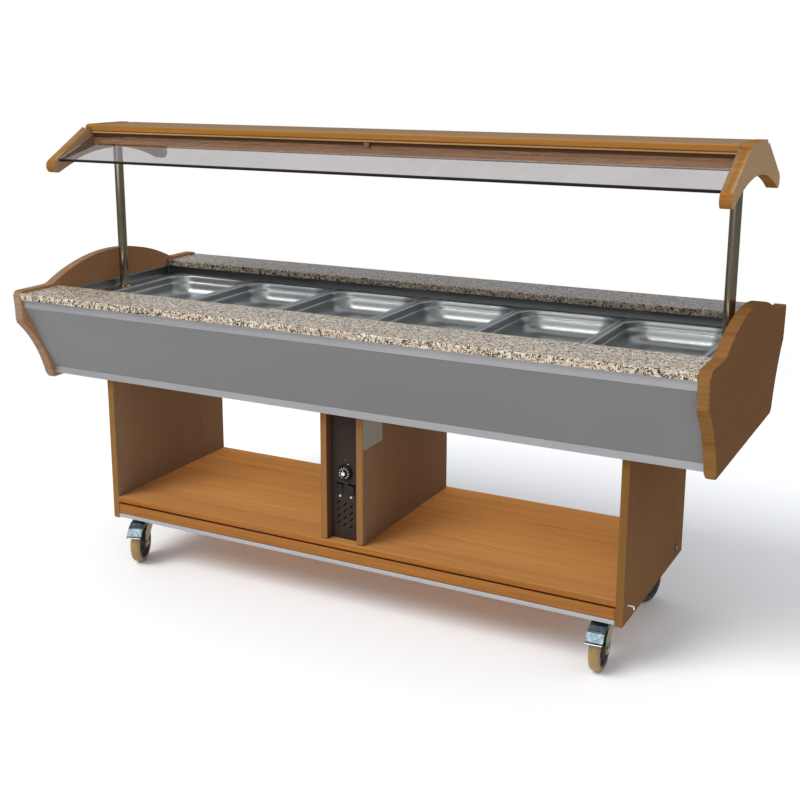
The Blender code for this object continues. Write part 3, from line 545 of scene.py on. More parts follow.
def dress(node, look, rounding=0, segments=3):
    """Gives a CAD node that stays in view its material, and softer edges."""
    piece = frame["nodes"][node]
    if not piece.material_slots:
        piece.data.materials.append(LOOKS[look])
    for place in piece.material_slots:
        place.material = LOOKS[look]
    if rounding:
        soften(piece, rounding, segments)


def from_faces(points, faces):
    shape = bmesh.new()
    verts = [shape.verts.new(p) for p in points]
    for face in faces:
        shape.faces.new([verts[i] for i in face])
    return shape


def joined(shapes):
    """Several separate closed shapes in one mesh."""
    points, faces = [], []
    for shape in shapes:
        shape.verts.index_update()
        start = len(points)
        points += [tuple(v.co) for v in shape.verts]
        faces += [tuple(start + v.index for v in f.verts) for f in shape.faces]
        shape.free()
    return from_faces(points, faces)


def on_axis(axis, along, a, b):
    """A point from its place along an axis and its two places across, in the order X, Y, Z."""
    return {"X": (along, a, b), "Y": (a, along, b), "Z": (a, b, along)}[axis]


def round_edges(shape, edges, width, segments):
    bmesh.ops.bevel(shape, geom=edges, offset=width, segments=segments, profile=0.5, affect="EDGES")


def prism(outline, axis, low, high, rounding=0, segments=4):
    """An outline extruded along an axis, with the rims of its two end faces rounded."""
    count = len(outline)
    points = [on_axis(axis, end, a, b) for end in (low, high) for a, b in outline]
    sides = [(i, (i + 1) % count, count + (i + 1) % count, count + i) for i in range(count)]
    shape = from_faces(points, [tuple(range(count))[::-1], tuple(range(count, 2 * count)), *sides])
    if rounding:
        index = "XYZ".index(axis)
        rims = [e for e in shape.edges if abs(e.verts[0].co[index] - e.verts[1].co[index]) < 1e-3]
        round_edges(shape, rims, rounding, segments)
    return shape


def block(x, y, z, rounding=0, segments=2):
    """A box between two places along each axis, with all its edges rounded."""
    outline = [(x[0], y[0]), (x[1], y[0]), (x[1], y[1]), (x[0], y[1])]
    shape = prism(outline, "Z", z[0], z[1])
    if rounding:
        round_edges(shape, list(shape.edges), rounding, segments)
    return shape


def skin(rings, closed=False):
    """Joins rings of equal length one after another, then the last to the first, or else caps both ends."""
    count = len(rings[0])
    points = [p for ring in rings for p in ring]
    pairs = [(k, k + 1) for k in range(len(rings) - 1)] + ([(len(rings) - 1, 0)] if closed else [])
    faces = [
        (a * count + i, a * count + (i + 1) % count, b * count + (i + 1) % count, b * count + i)
        for a, b in pairs
        for i in range(count)
    ]
    if not closed:
        faces.append(tuple(range(count))[::-1])
        faces.append(tuple(range(len(points) - count, len(points))))
    return from_faces(points, faces)


def rounded_ring(half_x, half_y, radius, z, per_corner=10, centre=(0, 0)):
    """A level rectangle with round corners."""
    ring = []
    for quarter, (sx, sy) in enumerate(((1, 1), (-1, 1), (-1, -1), (1, -1))):
        for step in range(per_corner):
            turn = pi / 2 * (quarter + step / (per_corner - 1))
            x = sx * (half_x - radius) + radius * cos(turn)
            y = sy * (half_y - radius) + radius * sin(turn)
            ring.append((centre[0] + x, centre[1] + y, z))
    return ring


def turned(profile, axis, centre, steps=64, ring=False, wave=None):
    """A profile of (radius, height) points turned about an axis; wave(turn) scales the radius."""
    rings = []
    for radius, height in profile:
        points = []
        for step in range(steps):
            turn = 2 * pi * (step + 0.5) / steps
            reach = radius * (wave(turn) if wave else 1)
            offset = on_axis(axis, height, reach * cos(turn), reach * sin(turn))
            points.append(tuple(centre[k] + offset[k] for k in (0, 1, 2)))
        rings.append(points)
    return skin(rings, ring)


def arc(centre, radius, start, end, steps):
    """Points on a circle from one turn to another, in radians."""
    turns = [start + (end - start) * k / steps for k in range(steps + 1)]
    return [(centre[0] + radius * cos(t), centre[1] + radius * sin(t)) for t in turns]


def bowed(start, end, sag, steps):
    """Points on a shallow arc from start to end that bows to the right of that direction by sag."""
    (ax, ay), (bx, by) = start, end
    half, heading = hypot(bx - ax, by - ay) / 2, atan2(by - ay, bx - ax)
    radius = (half**2 + sag**2) / (2 * sag)
    reach, lean = radius - sag, asin(half / radius)
    centre = ((ax + bx) / 2 - reach * sin(heading), (ay + by) / 2 + reach * cos(heading))
    return arc(centre, radius, heading - pi / 2 - lean, heading - pi / 2 + lean, steps)


def mirrored(half):
    """Closes a half outline, given from the -Y side to the middle, with its mirror image."""
    return half + [(-y, z) for y, z in reversed(half) if abs(y) > 1e-6]


def drill(piece, tool):
    """Cuts a bmesh in millimetres out of a piece with an exact Boolean."""
    cutter = linked("tool", as_mesh("tool", tool))
    modifier = piece.modifiers.new("boolean", "BOOLEAN")
    modifier.object = cutter
    modifier.operation = "DIFFERENCE"
    bpy.context.view_layer.update()
    graph = bpy.context.evaluated_depsgraph_get()
    baked = bpy.data.meshes.new_from_object(piece.evaluated_get(graph))
    piece.modifiers.remove(modifier)
    piece.data = baked
    shade_smooth(baked)
    bpy.data.objects.remove(cutter)


def centre_line(low, high):
    """The centre line of a node that stands along Z."""
    return (low.x + high.x) / 2, (low.y + high.y) / 2, 0


def placed(at, turn, axis):
    """The matrix of a turn about an axis and then a move."""
    return Matrix.Translation(at) @ Matrix.Rotation(turn, 4, axis)


def transformed(shape, matrix):
    """Moves a bmesh in millimetres by a matrix that is also in millimetres."""
    bmesh.ops.transform(shape, matrix=matrix, verts=shape.verts)
    return shape


# ---------- body


def end_panel_outline(half_depth, bottom, flat_z, crown_z):
    """Side view: crowned top, flat ledges with round noses, and a hollow sweep in to the foot."""
    centre_z = crown_z - CROWN_R
    fillet_z = flat_z + FILLET_R
    reach = CROWN_R + FILLET_R
    fillet_y = (reach**2 - (fillet_z - centre_z) ** 2) ** 0.5
    lean = asin(fillet_y / reach)
    foot = [(-FOOT_HALF_Y + 8, bottom), (-FOOT_HALF_Y + 1, bottom + 5)]
    sweep = bowed((-FOOT_HALF_Y - 2, bottom + 14), (-half_depth + 3, NOSE_Z - 3), SWEEP_SAG, 36)
    nose = arc((-half_depth + NOSE_R, flat_z - NOSE_R), NOSE_R, pi, pi / 2, 12)
    fillet = arc((-fillet_y, fillet_z), FILLET_R, -pi / 2, -pi / 2 + lean, 12)
    crown = arc((0, centre_z), CROWN_R, pi / 2 + lean, pi / 2, 32)[1:]
    return mirrored([*foot, *sweep, (-half_depth, NOSE_Z + 5), *nose, *fillet, *crown])


def make_end_panels():
    """Both end panels, from one outline."""
    low, high = box("right_end_panel")
    flat_z = box("front_granite_slab")[1].z + FLAT_OVER_STONE
    outline = end_panel_outline(high.y, low.z, flat_z, high.z)
    for side, look in (("left", "panel_left"), ("right", "panel")):
        node = f"{side}_end_panel"
        ends = (box(node)[0].x, box(node)[1].x)
        shape = prism(outline, "X", *ends, PANEL_ROUND, 6)
        put(f"{side}_side_panel", shape, look, TABLE, [node], level=True)


def make_body():
    """The stone ledges, rails and fascia panels round the well, and the board under it."""
    dress("front_granite_slab", "granite", 1.2)
    dress("rear_granite_slab", "granite_rear", 1.2)
    for side, _ in ENDS:
        dress(f"{side}_top_rail", "rail", 0.6)
        dress(f"{side}_bottom_rail", "rail", 0.6)
        dress(f"{side}_fascia_panel", "fascia", 0.5)
    dress("body_floor_board", "board", 0.5)


def make_pans():
    """Deep-drawn pans with rolled rims, round shoulders and a broad radius down to the floor."""
    # Each step: how far in from the rim's edge, the radius of the corners, how far below the top
    inside = [(0, 11, 2.5), (0, 11, 1.5), (0.4, 11, 0.5), (1.4, 11, 0), (10.5, 58, 0)]
    inside += [(12, 59, 0.3), (13.3, 60, 1.1), (14.2, 60, 2.6), (15, 60, 12), (15.4, 60, 19)]
    inside += [(16.2, 60, 20.6), (18, 59, 21.6), (18.8, 59, 23)]
    outside = [(18, 45, 24), (14.2, 46, 20), (13.4, 46, 4), (11.5, 44, 1.2), (1.6, 11, 1.2)]
    outside += [(1, 11, 1.8), (0.9, 11, 2.5)]
    for number in range(1, 7):
        node = f"gn_pan_{number}"
        low, high = box(node)
        half_x, half_y = (high.x - low.x) / 2, (high.y - low.y) / 2
        rim, floor = high.z, low.z + 1
        upper = [(inset, radius, rim - drop) for inset, radius, drop in inside]
        for inset, rise in arc((53, PAN_FLOOR_R), PAN_FLOOR_R, pi, 1.5 * pi, 10):
            upper.append((inset + 2.5, 58 - (inset - 19) * 0.35, floor + rise))
        upper.append((80, 36, floor + 0.4))
        lower = [(38.5, 36, floor - 1), (26, 40, floor + 3), (21.5, 44, floor + 14)]
        lower += [(inset, radius, rim - drop) for inset, radius, drop in outside]
        rings = [
            rounded_ring(half_x - inset, half_y - inset, radius, z, 12, centre_line(low, high))
            for inset, radius, z in [*reversed(upper), *reversed(lower)]
        ]
        put(f"food_pan_{number}", skin(rings), "pan", node, [node])


def make_well():
    """The pressed tank with its pan ledge, the holes through its floor, and the bar across its middle."""
    low, high = box("well_tank")
    t = WELL_SHEET
    top, floor, deck = high.z, low.z + t, box("left_post")[0].z - 0.3
    # Each step: the outline it is measured from, how far in, the radius of the corners, the height
    brim, wall, hole = (high.x, high.y), (high.x - t - 2, high.y - 17), WELL_OPEN
    upper = [(brim, 0, 4, top), (wall, -0.8, 3, top), (wall, 0, 3, top - 1), (wall, 0, 3, deck + 3)]
    upper += [(wall, 0.9, 4, deck + 0.9), (wall, 3, 5, deck), (hole, -2, 31, deck)]
    upper += [(hole, -0.6, 30, deck - 0.6), (hole, 0, 30, deck - 2), (hole, 2.9, 30, floor + 8)]
    upper += [(hole, 3.6, 29, floor + 4.2), (hole, 5.4, 28, floor + 1.2), (hole, 9, 26, floor)]
    lower = [(hole, 8, 26, floor - t), (hole, 3 - t, 30, floor + 3.2), (hole, -t, 30, deck - t)]
    lower += [(wall, -t, 4, deck - t), (wall, -t, 4, top - t), (brim, 0, 4, top - t)]
    rings = [
        rounded_ring(half_x - inset, half_y - inset, radius, z)
        for (half_x, half_y), inset, radius, z in [*reversed(upper), *reversed(lower)]
    ]
    well = put("water_well", skin(rings), "well", TABLE, ["well_tank"])
    tail_x, tail_y = ELEMENT_TAIL
    tail_r = ELEMENT_R + 0.6
    for hole_x, hole_y, radius in ((0, DRAIN_Y, 8), (-tail_x, tail_y, tail_r), (tail_x, tail_y, tail_r)):
        drill(well, turned(((radius, floor - 10), (radius, floor + 10)), "Z", (hole_x, hole_y, 0), 32))
    dress("well_cross_bar", "pan", 0.5)


def make_element():
    """The tubular element: one long loop over the well floor, with both tails down through it."""
    low, high = box("heating_element")
    tail_x, front_y = ELEMENT_TAIL
    half = (high.y - low.y) / 2 - ELEMENT_R
    level, reach_x = high.z - ELEMENT_R, high.x - ELEMENT_R - half
    right = [(tail_x, front_y, low.z)]
    for x, z in arc((tail_x + ELEMENT_BEND, level - ELEMENT_BEND), ELEMENT_BEND, pi, pi / 2, 8):
        right.append((x, front_y, z))
    for x, y in arc((reach_x, front_y + half), half, -pi / 2, pi / 2, 24):
        right.append((x, y, level))
    route = right + [(-x, y, z) for x, y, z in reversed(right)]
    curve = bpy.data.curves.new("element_tube", "CURVE")
    curve.dimensions = "3D"
    curve.bevel_depth = ELEMENT_R * MM
    curve.bevel_resolution = 4
    curve.use_fill_caps = True
    curve.materials.append(LOOKS["element"])
    spline = curve.splines.new("POLY")
    spline.points.add(len(route) - 1)
    for point, at in zip(spline.points, route):
        point.co = (*(v * MM for v in at), 1)
    tube = linked("element_tube", curve)
    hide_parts("heating_element")
    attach(tube, TABLE)


def hexagon(radius, axis, centre, low, high):
    """A six-sided nut blank about an axis, with its corners eased."""
    ease = radius * 0.12
    profile = ((radius - ease, low), (radius, low + ease), (radius, high - ease), (radius - ease, high))
    return turned(profile, axis, centre, 6)


def make_drain():
    """The drain valve with its hex ends and stem, and its lever with a nut on it."""
    low, high = box("drain_valve")
    lever_low, lever_high = box("drain_lever")
    centre = (0, DRAIN_Y, 0)
    stem_z = (lever_low.z + lever_high.z) / 2
    top, foot = high.z, low.z
    profile = [(8, top), (19, top), (20, top - 0.8), (20, top - 2.7), (12.6, top - 2.7)]
    profile += [(12.6, stem_z + 22), (14, stem_z + 18)]
    profile += [(r + 2, stem_z + h) for h, r in arc((0, 0), 16, radians(55), radians(125), 16)]
    profile += [(14, stem_z - 18), (12.6, stem_z - 22), (12.6, foot + 1), (11.6, foot), (8, foot)]
    shapes = [turned(profile, "Z", centre, 64, ring=True)]
    for start in (stem_z + 17, stem_z - 27):
        shapes.append(hexagon(17.5, "Z", centre, start, start + 10))
    face = DRAIN_Y + 16
    stem = ((8.5, face), (8.5, face + 3), (6, face + 4), (6, high.y))
    shapes.append(turned(stem, "Y", (0, 0, stem_z), 32))
    put("ball_valve", joined(shapes), "brass", TABLE, ["drain_valve"])
    dress("drain_lever", "black", 1.2)
    nut = hexagon(5, "Y", (0, 0, stem_z), lever_high.y + 0.1, lever_high.y + 3.6)
    put("drain_lever_nut", nut, "zinc", "drain_lever")


def make_posts():
    """Polished canopy posts, each standing in a thin flange."""
    for side, _ in SIDES:
        node = f"{side}_post"
        low, high = box(node)
        centre = centre_line(low, high)
        radius, foot = (high.y - low.y) / 2, low.z
        inner = radius - 1.5
        profile = [(inner, foot), (inner, high.z), (radius, high.z), (radius, foot)]
        tube = turned(profile, "Z", centre, 64, True)
        put(f"{side}_upright", tube, "bright", TABLE, [node])
        flange = [(radius + 0.2, foot), (radius + 0.2, foot + 4), (radius + 1.4, foot + 4.6)]
        flange += [(radius + 4, foot + 3), (radius + 5.4, foot + 1.4), (radius + 5.4, foot)]
        put(f"{side}_post_flange", turned(flange, "Z", centre, 64, True), "bright")


# ---------- canopy


def bracket_outline(top):
    """Flat top, sloping shoulders and an arched underside that run into the round tips at a tangent."""
    rise = BRACKET_TIP_DROP - BRACKET_ARCH_DROP
    arch_r = (BRACKET_TIP_Y**2 + rise**2 - BRACKET_TIP_R**2) / (2 * (rise + BRACKET_TIP_R))
    lean = asin(BRACKET_TIP_Y / (arch_r + BRACKET_TIP_R))
    arch = arc((0, top - BRACKET_ARCH_DROP - arch_r), arch_r, pi / 2, pi / 2 + lean, 32)
    drop, reach = BRACKET_TIP_DROP - BRACKET_SHOULDER_DROP, BRACKET_TIP_Y - BRACKET_FLAT_Y
    slope = atan2(drop, reach) - asin(BRACKET_TIP_R / hypot(drop, reach))
    tip = (-BRACKET_TIP_Y, top - BRACKET_TIP_DROP)
    turn = arc(tip, BRACKET_TIP_R, lean - pi / 2, slope - 3 * pi / 2, 24)
    shoulder = (-BRACKET_FLAT_Y, top - BRACKET_SHOULDER_DROP)
    corner_centre = (-BRACKET_FLAT_Y + BRACKET_CORNER_R, top - BRACKET_CORNER_R)
    corner = arc(corner_centre, BRACKET_CORNER_R, pi, pi / 2, 12)
    return mirrored([*reversed(corner), shoulder, *reversed(turn), *reversed(arch[:-1])])


def make_brackets():
    """The shaped bracket at each end of the canopy."""
    for side, _ in SIDES:
        node = f"{side}_canopy_bracket"
        low, high = box(node)
        shape = prism(bracket_outline(high.z), "X", low.x, high.x, BRACKET_ROUND, 6)
        put(f"{side}_canopy_end", shape, "bracket", TABLE, [node], level=True)


def make_pane_edge_shade(side, s, ends):
    """A black strip along the lower rim of a pane, painted shade for the dark look of the glass edge;
    modelled level and then tilted with the pane.
    """
    (top_y, top_z), (low_y, low_z) = GLASS_TOP, GLASS_LOW
    slope = atan2(low_z - top_z, low_y - top_y)
    strip = block(ends, sorted((-s * EDGE_SHADE_DEEP, s * 0.6)), (-GLASS_THICK - EDGE_SHADE_OVER, EDGE_SHADE_OVER))
    strip = transformed(strip, placed((0, s * low_y, low_z), s * slope, "X"))
    soften(put(f"{side}_glass_edge_shade", strip, "black_trim"), 0.5, 2)


def make_canopy():
    """The top board with strips of painted highlight under its edges, the boards under it, the panes with
    strips of painted shade on their lower edges and a clip, and the light.
    """
    dress("canopy_top_board", "canopy", 1)
    low, high = box("canopy_top_board")
    ends = (low.x + 0.2, high.x - 0.2)
    clip_y, clip_z = GLASS_TOP
    for side, s in ENDS:
        dress(f"{side}_valance", "valance", 0.6)
        y = sorted((s * (box("rear_valance")[1].y + 0.3), s * (high.y - 0.6)))
        # painted highlight: a lighter strip under the board's edge stands for the highlight on its lower
        # rounding
        bead_highlight = block(ends, y, (low.z - 0.1 - BEAD_HIGH, low.z - 0.1), 1.5, 3)
        put(f"{side}_canopy_bead", bead_highlight, "bead_highlight")
        dress(f"{side}_glass_pane", "glass", 0.5, 2)
        make_pane_edge_shade(side, s, ends)
        y = sorted((s * (clip_y - 2.5), s * (clip_y + 7)))
        x, z = (CLIP_X - CLIP_HALF, CLIP_X + CLIP_HALF), (clip_z - CLIP_HALF, clip_z + CLIP_HALF)
        put(f"{side}_glass_clip", block(x, y, z, 1.2), "clip")
    make_light()


def make_light():
    """The batten's housing, its bulging diffuser and its end caps."""
    low, high = box("canopy_light")
    dress("canopy_light", "white", 1.5)
    radius = (LENS_HALF_Y**2 + LENS_BULGE**2) / (2 * LENS_BULGE)
    lean = asin(LENS_HALF_Y / radius)
    outline = arc((0, low.z - LENS_BULGE + radius), radius, -pi / 2 - lean, -pi / 2 + lean, 16)
    outline += [(LENS_HALF_Y, low.z + 0.5), (-LENS_HALF_Y, low.z + 0.5)]
    put("light_diffuser", prism(outline, "X", low.x + 12, high.x - 12), "lens")
    caps = []
    for x in ((low.x - 5, low.x + 7), (high.x - 7, high.x + 5)):
        caps.append(block(x, (low.y - 0.8, high.y + 0.8), (low.z - 0.8, high.z), 2, 3))
    put("light_end_caps", joined(caps), "white")


# ---------- base


def make_boards():
    """The leg panels, partitions, shelf and aprons, the frame under them, and what is fixed to them."""
    dress("right_leg_panel", "board", 0.8)
    for name in ("left_leg_panel", "right_partition"):
        dress(name, "board_shaded", 0.8)
    dress("left_partition", "board_recess_shade", 0.8)
    dress("lower_shelf", "shelf", 0.8)
    for side, s in ENDS:
        dress(f"{side}_apron", "apron", 0.8)
        make_shelf_shadow(side, s)
    dress("base_frame", "base", 1)
    make_leg_fittings()
    make_blank_plate()


def make_shelf_shadow(side, s):
    """A dark strip painted as the shadow in the gap between the shelf and the apron under it."""
    low, high = box(f"{side}_apron")
    face = high.y if s > 0 else low.y
    y = sorted((face + 0.4 * s, face - 2 * s))
    strip = block((low.x + 0.4, high.x - 0.4), y, (high.z - GAP_SHADE_HIGH, high.z + 0.2), 0.1, 1)
    put(f"{side}_seam", strip, "seam")


def make_leg_fittings():
    """A cover cap near the rear of each leg panel's outer face, and near the front a small white hook shape,
    a painted glint on the edges of a small plate.
    """
    for side, s in SIDES:
        low, high = box(f"{side}_leg_panel")
        face = high.x if s > 0 else low.x
        centre = (0, high.y - CAP_FROM_REAR, low.z + CAP_FROM_LOW)
        ring = ((12, 0), (12, 1), (10.4, 1.8), (8, 1.2), (0.4, 1.2))
        head = ((6.6, 1), (6.6, 2.2), (5.4, 3.2), (3, 3.8), (0.4, 4))
        # painted shade and highlight: the cap's ring is a dark bronze, darkened as the shade of its recess,
        # and the screw head's pale tone is a painted highlight
        for name, steps, look in (("screw_cap", ring, "cap"), ("cap_screw", head, "tarnished")):
            shape = turned([(r, face + s * out) for r, out in steps], "X", centre, 32)
            put(f"{side}_{name}", shape, look)
        # painted highlight: the white hook shape stands for a glint on the edges of a small plate
        y, z = low.y + GLINT_FROM_FRONT, low.z + GLINT_FROM_LOW
        across, reach = (y - GLINT_THICK / 2, y + GLINT_THICK / 2), face + s * GLINT_LONG
        arm = block(sorted((face - s * 0.5, reach)), across, (z - GLINT_THICK, z), 1)
        tip = block(sorted((reach - s * GLINT_THICK, reach)), across, (z - GLINT_DROP, z), 1)
        put(f"{side}_glint_mark", joined([arm, tip]), "white")


def make_blank_plate():
    """A plain plate with a raised border, high on the right partition."""
    low, high = box("right_partition")
    face, front, top = high.x, low.y + PLATE_INSET, high.z - PLATE_INSET
    y, z = (front, front + PLATE_WIDE), (top - PLATE_HIGH, top)
    plate = [block((face - 0.2, face + 0.5), y, z, 0.2, 1)]
    raised = (face + 0.4, face + 0.8)
    for start in (z[0], z[1] - PLATE_BORDER):
        plate.append(block(raised, y, (start, start + PLATE_BORDER), 0.15, 1))
    for start in (y[0], y[1] - PLATE_BORDER):
        plate.append(block(raised, (start, start + PLATE_BORDER), z, 0.15, 1))
    put("blank_plate", joined(plate), "label")


# ---------- controls


def make_bezel(name, x, z, face):
    """The raised frame round a rocker switch, modelled lying flat and then turned to face -Y."""
    sizes = [(10.3, 15.3, 1.5, 0), (10.3, 15.3, 1.5, 1.4), (10.9, 15.9, 2, 2)]
    sizes += [(12.2, 17.2, 3, 2), (13, 18, 3.5, 1.2), (13, 18, 3.5, 0)]
    ring = skin([rounded_ring(*size, per_corner=6) for size in sizes], closed=True)
    put(name, transformed(ring, placed((x, face, z), pi / 2, "X")), "black")


def dome(at, face, radius, height):
    """A low round button on a face that looks along -Y."""
    steps = [(radius * cos(t), face - height * sin(t)) for t in (0, 0.35, 0.7, 1.05, 1.35, 1.54)]
    return turned([(radius, face + 0.5), *steps], "Y", (at[0], 0, at[1]), 32)


def make_knob():
    """The thermostat dial: a skirt with white marks, a fluted grip with a pointer rib, and a white-painted
    cap.
    """
    low, high = box("thermostat_knob")
    face = box("control_panel")[0].y - 0.3
    z, radius, body = (low.z + high.z) / 2, (high.z - low.z) / 2, "thermostat_knob"
    centre = (0, 0, z)
    skirt = [(3, high.y), (3, face), (radius, face), (radius, face - 2), (radius - 0.8, face - 3)]
    skirt += [(18.9, face - 8.8), (18.2, face - 9.8), (17, face - 10.5), (0.5, face - 10.6)]
    grip = [(10.2, face - 9.8), (9.8, face - 12), (9.2, face - 14.8), (8.2, face - 15.8)]
    grip.append((0.5, face - 16))
    rib = block((-1.4, 1.4), (face - 17.2, face - 9.8), (z, z + 12.2), 0.6)
    fluted = turned(grip, "Y", centre, 96, wave=lambda t: 1 + 0.03 * cos(16 * t))
    put("dial", joined([turned(skirt, "Y", centre, 96), fluted, rib]), "black", body, [body])
    marks = [block((-0.8, 0.8), (face - 17.5, face - 17), (z + 7.5, z + 12), 0.1, 1)]
    for step in range(DIAL_MARKS):
        mark = block((-0.9, 0.9), (face - 11, face - 10.2), (12.8, 16.4), 0.1, 1)
        turn = radians(DIAL_STEP * (step - (DIAL_MARKS - 1) / 2))
        marks.append(transformed(mark, placed(centre, turn, "Y")))
    put("dial_marks", joined(marks), "tick", body)
    # painted highlight: the cap is painted white as the glint on a bright metal cap
    put("dial_cap", dome((0, z), face - 15.8, 6, 1.4), "tick", body)


def make_controls():
    """The folded panel with its dial, rockers, lamps and screw, and the box and gland behind it."""
    face = box("control_panel")[0].y
    dress("control_panel", "dark_panel", 0.3, 2)
    dress("control_box", "zinc", 0.5)
    make_knob()
    # painted shade: a near-black sheet behind the vent slots stands for the shade inside the box
    shade_backing = block((-VENT_HALF_X, VENT_HALF_X), (face + 1.55, face + 1.75), VENT_Z, 0.05, 1)
    put("shade_behind_vents", shade_backing, "vent_shade")
    for name, s in (("heater", -1), ("light", 1)):
        dress(f"{name}_switch", "black", 0.8)
        make_bezel(f"{name}_bezel", s * SWITCH_X, SWITCH_Z, face)
    lamps = [dome((s * SWITCH_X, WHITE_LAMP_Z), face, WHITE_LAMP_R, 3.4) for s in (-1, 1)]
    put("white_pilot_lamps", joined(lamps), "white_lens")
    put("red_pilot_lamp", dome(RED_LAMP_AT, face, RED_LAMP_R, 2), "red_lens")
    put("panel_screw", dome(PANEL_SCREW_AT, face, PANEL_SCREW_R, 1.6), "zinc")
    make_gland()


def make_gland():
    """The gland on the control box's back: a body, a nut with six flats, and a ribbed cap that tapers."""
    low, high = box("cable_gland")
    centre = (0, 0, (low.z + high.z) / 2)
    seat = box("control_box")[1].y + 0.3
    nut = [(4.5, low.y), (8, low.y), (8, seat), (10.4, seat), (10.4, seat + 9), (4.5, seat + 9)]
    cap = [(4.5, seat + 8), (11.6, seat + 8), (11.8, seat + 9), (11.4, seat + 14)]
    cap += [(10.2, seat + 19), (8.4, high.y - 1), (7.2, high.y), (4.5, high.y)]
    ribbed = turned(cap, "Y", centre, 96, True, lambda t: 1 + 0.025 * cos(12 * t))
    flats = [(8.2, seat), (12.6, seat), (12.6, seat + 4.2), (11.6, seat + 5), (8.2, seat + 5)]
    shapes = [turned(nut, "Y", centre, 48, True), ribbed, turned(flats, "Y", centre, 6, True)]
    put("strain_relief_gland", joined(shapes), "black", TABLE, ["cable_gland"])


# ---------- castors


def castor_matrix(place):
    """From a castor's own millimetres, swivel axis up and wheel axis along X, to the table's."""
    joints = {joint["name"]: joint for joint in frame["record"]["behaviour"]["joints"]}
    x, y = joints[f"{place}_swivel"]["pos_m"][:2]
    axle = joints[f"{place}_roll"]["axis"]
    return placed((x / MM, y / MM, 0), atan2(axle[1], axle[0]), "Z")


def both_sides(half, centre):
    """A ring about X from half its section, (radius, height) from the bore outwards."""
    return turned(half + [(r, -h) for r, h in reversed(half)], "X", centre, 96, True)


def make_wheel(place, matrix):
    """A crowned tread on a dark core with a hub, a web and spokes."""
    node = f"castor_{place}_wheel"
    centre = (0, -CASTOR_TRAIL, WHEEL_R)
    edge = WHEEL_HALF_WIDTH
    half = [(49, 13), (52, edge - 0.8), (56, edge), (58.6, edge - 1.2)]
    half += [(60.8, 12.4), (62, 8.6), (WHEEL_R, 3)]
    tread = both_sides(half, centre)
    # painted shade: the rear wheels take a darker copy of the tread, as the shade they stand in
    look = "tread_rear_shade" if place.startswith("rear") else "tread"
    put(f"{place}_tread", transformed(tread, matrix), look, node, [node])
    half = [(6.3, 17.4), (12.6, 17.4), (13.8, 16.6), (14.6, 10), (17, 8.4), (42, 8), (44.4, 10)]
    half += [(45.4, 14.4), (47, 15.4), (49.6, 15.2), (50.6, 13)]
    shapes = [both_sides(half, centre)]
    for step in range(SPOKES):
        spoke = block((-13, 13), (-1.6, 1.6), (13, 46), 0.6, 1)
        shapes.append(transformed(spoke, placed(centre, 2 * pi / SPOKES * step, "X")))
    put(f"{place}_wheel_core", transformed(joined(shapes), matrix), "core", node)


def make_castor_hardware(place, matrix):
    """Axle nuts on the fork, and the bolts that hold the plate to the frame."""
    name = f"castor_{place}"
    nuts = []
    for s in (-1, 1):
        start, end = sorted((s * FORK_OUTER_X, s * (FORK_OUTER_X + 4.5)))
        nuts.append(hexagon(AXLE_NUT_R, "X", (0, -CASTOR_TRAIL, WHEEL_R), start, end))
    put(f"{place}_axle_nuts", transformed(joined(nuts), matrix), "zinc", f"{name}_fork")
    low, high = box(f"{name}_mount")
    x, y, _ = centre_line(low, high)
    under = high.z - 3
    bolts = []
    for sx, sy in ((-1, -1), (-1, 1), (1, -1), (1, 1)):
        at = (x + sx * PLATE_BOLT_AT[0], y + sy * PLATE_BOLT_AT[1], 0)
        bolts.append(hexagon(PLATE_BOLT_R, "Z", at, under - 4, under))
    put(f"{place}_plate_bolts", joined(bolts), "zinc")


def make_pedal(place, matrix):
    """Ribs across the pedal's tread and a rolled lip along its front."""
    name = f"castor_{place}_pedal"
    dress(name, "pedal", 0.8)
    end, side = PEDAL_HALF_X, PEDAL_HALF_X - 0.8
    lip = turned(((0.4, -end), (2.2, -side), (2.2, side), (0.4, end)), "X", (0, *PEDAL_LIP_AT), 20)
    put(f"{place}_pedal_lip", transformed(lip, matrix), "zinc", name)
    ribs = []
    for at in PEDAL_RIBS_AT:
        ribs.append(turned(((0.3, -15), (1.2, -14), (1.2, 14), (0.3, 15)), "X", (0, *at), 16))
    put(f"{place}_pedal_ribs", transformed(joined(ribs), matrix), "pedal", name)


def make_castors():
    for place in CASTORS:
        matrix = castor_matrix(place)
        dress(f"castor_{place}_mount", "zinc", 0.6)
        dress(f"castor_{place}_fork", "zinc_yellow", 0.9)
        make_wheel(place, matrix)
        make_castor_hardware(place, matrix)
        if place.startswith("front"):
            make_pedal(place, matrix)


# ---------- stage


def make_camera():
    """The photo's point of view, shifted so that the middle of the table isn't the middle of the picture."""
    right, up = Vector(CAMERA_RIGHT), Vector(CAMERA_UP)
    back = right.cross(up)
    data = bpy.data.cameras.new("camera")
    data.sensor_width = 36
    data.lens = CAMERA_LENS
    data.shift_x, data.shift_y = CAMERA_SHIFT
    camera = linked("camera", data)
    turn = Matrix((right, up, back)).transposed().to_4x4()
    camera.matrix_world = Matrix.Translation(CAMERA_AT) @ turn
    bpy.context.scene.camera = camera


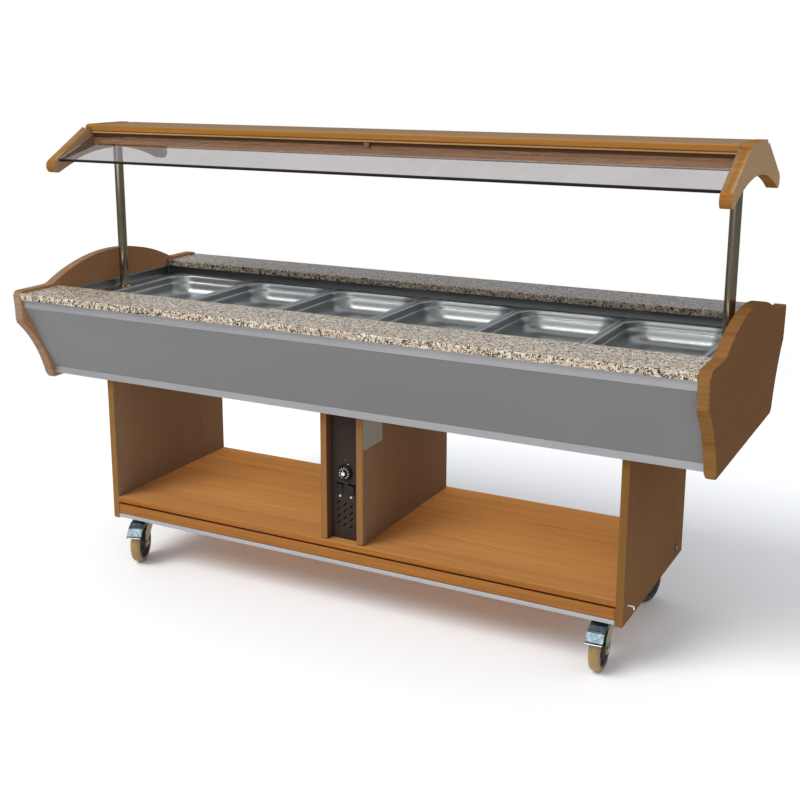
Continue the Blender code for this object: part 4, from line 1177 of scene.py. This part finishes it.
def make_floor():
    """A plain pale floor that fades out well away from the table."""
    rim = FLOOR_R / MM
    shape = turned(((0.001, -1), (rim, -1), (rim, 0), (0.001, 0)), "Z", (0, 0, 0), 96, True)
    mesh = as_mesh("floor", shape)
    look = Look("floor_pale")
    greys = [(grey, grey, grey, 1) for grey in FLOOR_GREYS]
    distance = look.node("VectorMath", {0: look.place((1, 1, 0))}, operation="LENGTH").outputs["Value"]
    look.set("Alpha", look.span(distance, 1, 0, FLOOR_FADE_R, FLOOR_R))
    mesh.materials.append(look.finish(look.mix(look.noise(0.8, 2), *greys), 0.9))
    linked("floor", mesh)


def add_light(name, kind, energy, at, towards=(0, 0, 0.8), **settings):
    data = bpy.data.lights.new(name, kind)
    data.energy = energy
    for key, value in settings.items():
        setattr(data, key, value)
    light = linked(name, data)
    light.location = at
    light.rotation_euler = (Vector(at) - Vector(towards)).to_track_quat("Z", "Y").to_euler()


def make_lights():
    """A soft key from the front left, and a wide fill low in front."""
    add_light("key", "SUN", 2.05, (-2.2, -3.2, 4.2), (0, 0, 0), angle=radians(32))
    wide = {"shape": "RECTANGLE", "size": 4.5, "size_y": 1.6}
    add_light("front_soft", "AREA", 45, (-0.5, -4.6, 1.6), (0, 0, 0.5), **wide)


def make_world():
    """A surround that is darker low down, and white where the camera sees it, also through the glass."""
    world = bpy.data.worlds.new("surround")
    bpy.context.scene.world = world
    world.use_nodes = True
    world.node_tree.nodes.clear()
    tree = Nodes(world.node_tree)
    up = tree.node("SeparateXYZ", {"Vector": tree.node("TexCoord").outputs["Generated"]}).outputs["Z"]
    greys = tree.ramp(up, *((height, (grey * 0.97, grey, grey * 1.04, 1)) for height, grey in SURROUND))
    ray = tree.node("LightPath").outputs
    seen = tree.math(ray["Is Camera Ray"], ray["Is Transmission Ray"], "MAXIMUM")
    background = tree.node("Background", {"Color": tree.mix(seen, greys, WHITE)})
    tree.node("OutputWorld", {"Surface": background.outputs["Background"]})
    bpy.context.scene.view_settings.view_transform = "Standard"


LOOKS = make_looks()
make_camera()
make_floor()
make_lights()
make_world()
make_end_panels()
make_body()
make_pans()
make_well()
make_posts()
make_brackets()
make_canopy()
make_boards()
make_controls()
make_drain()
make_element()
make_castors()
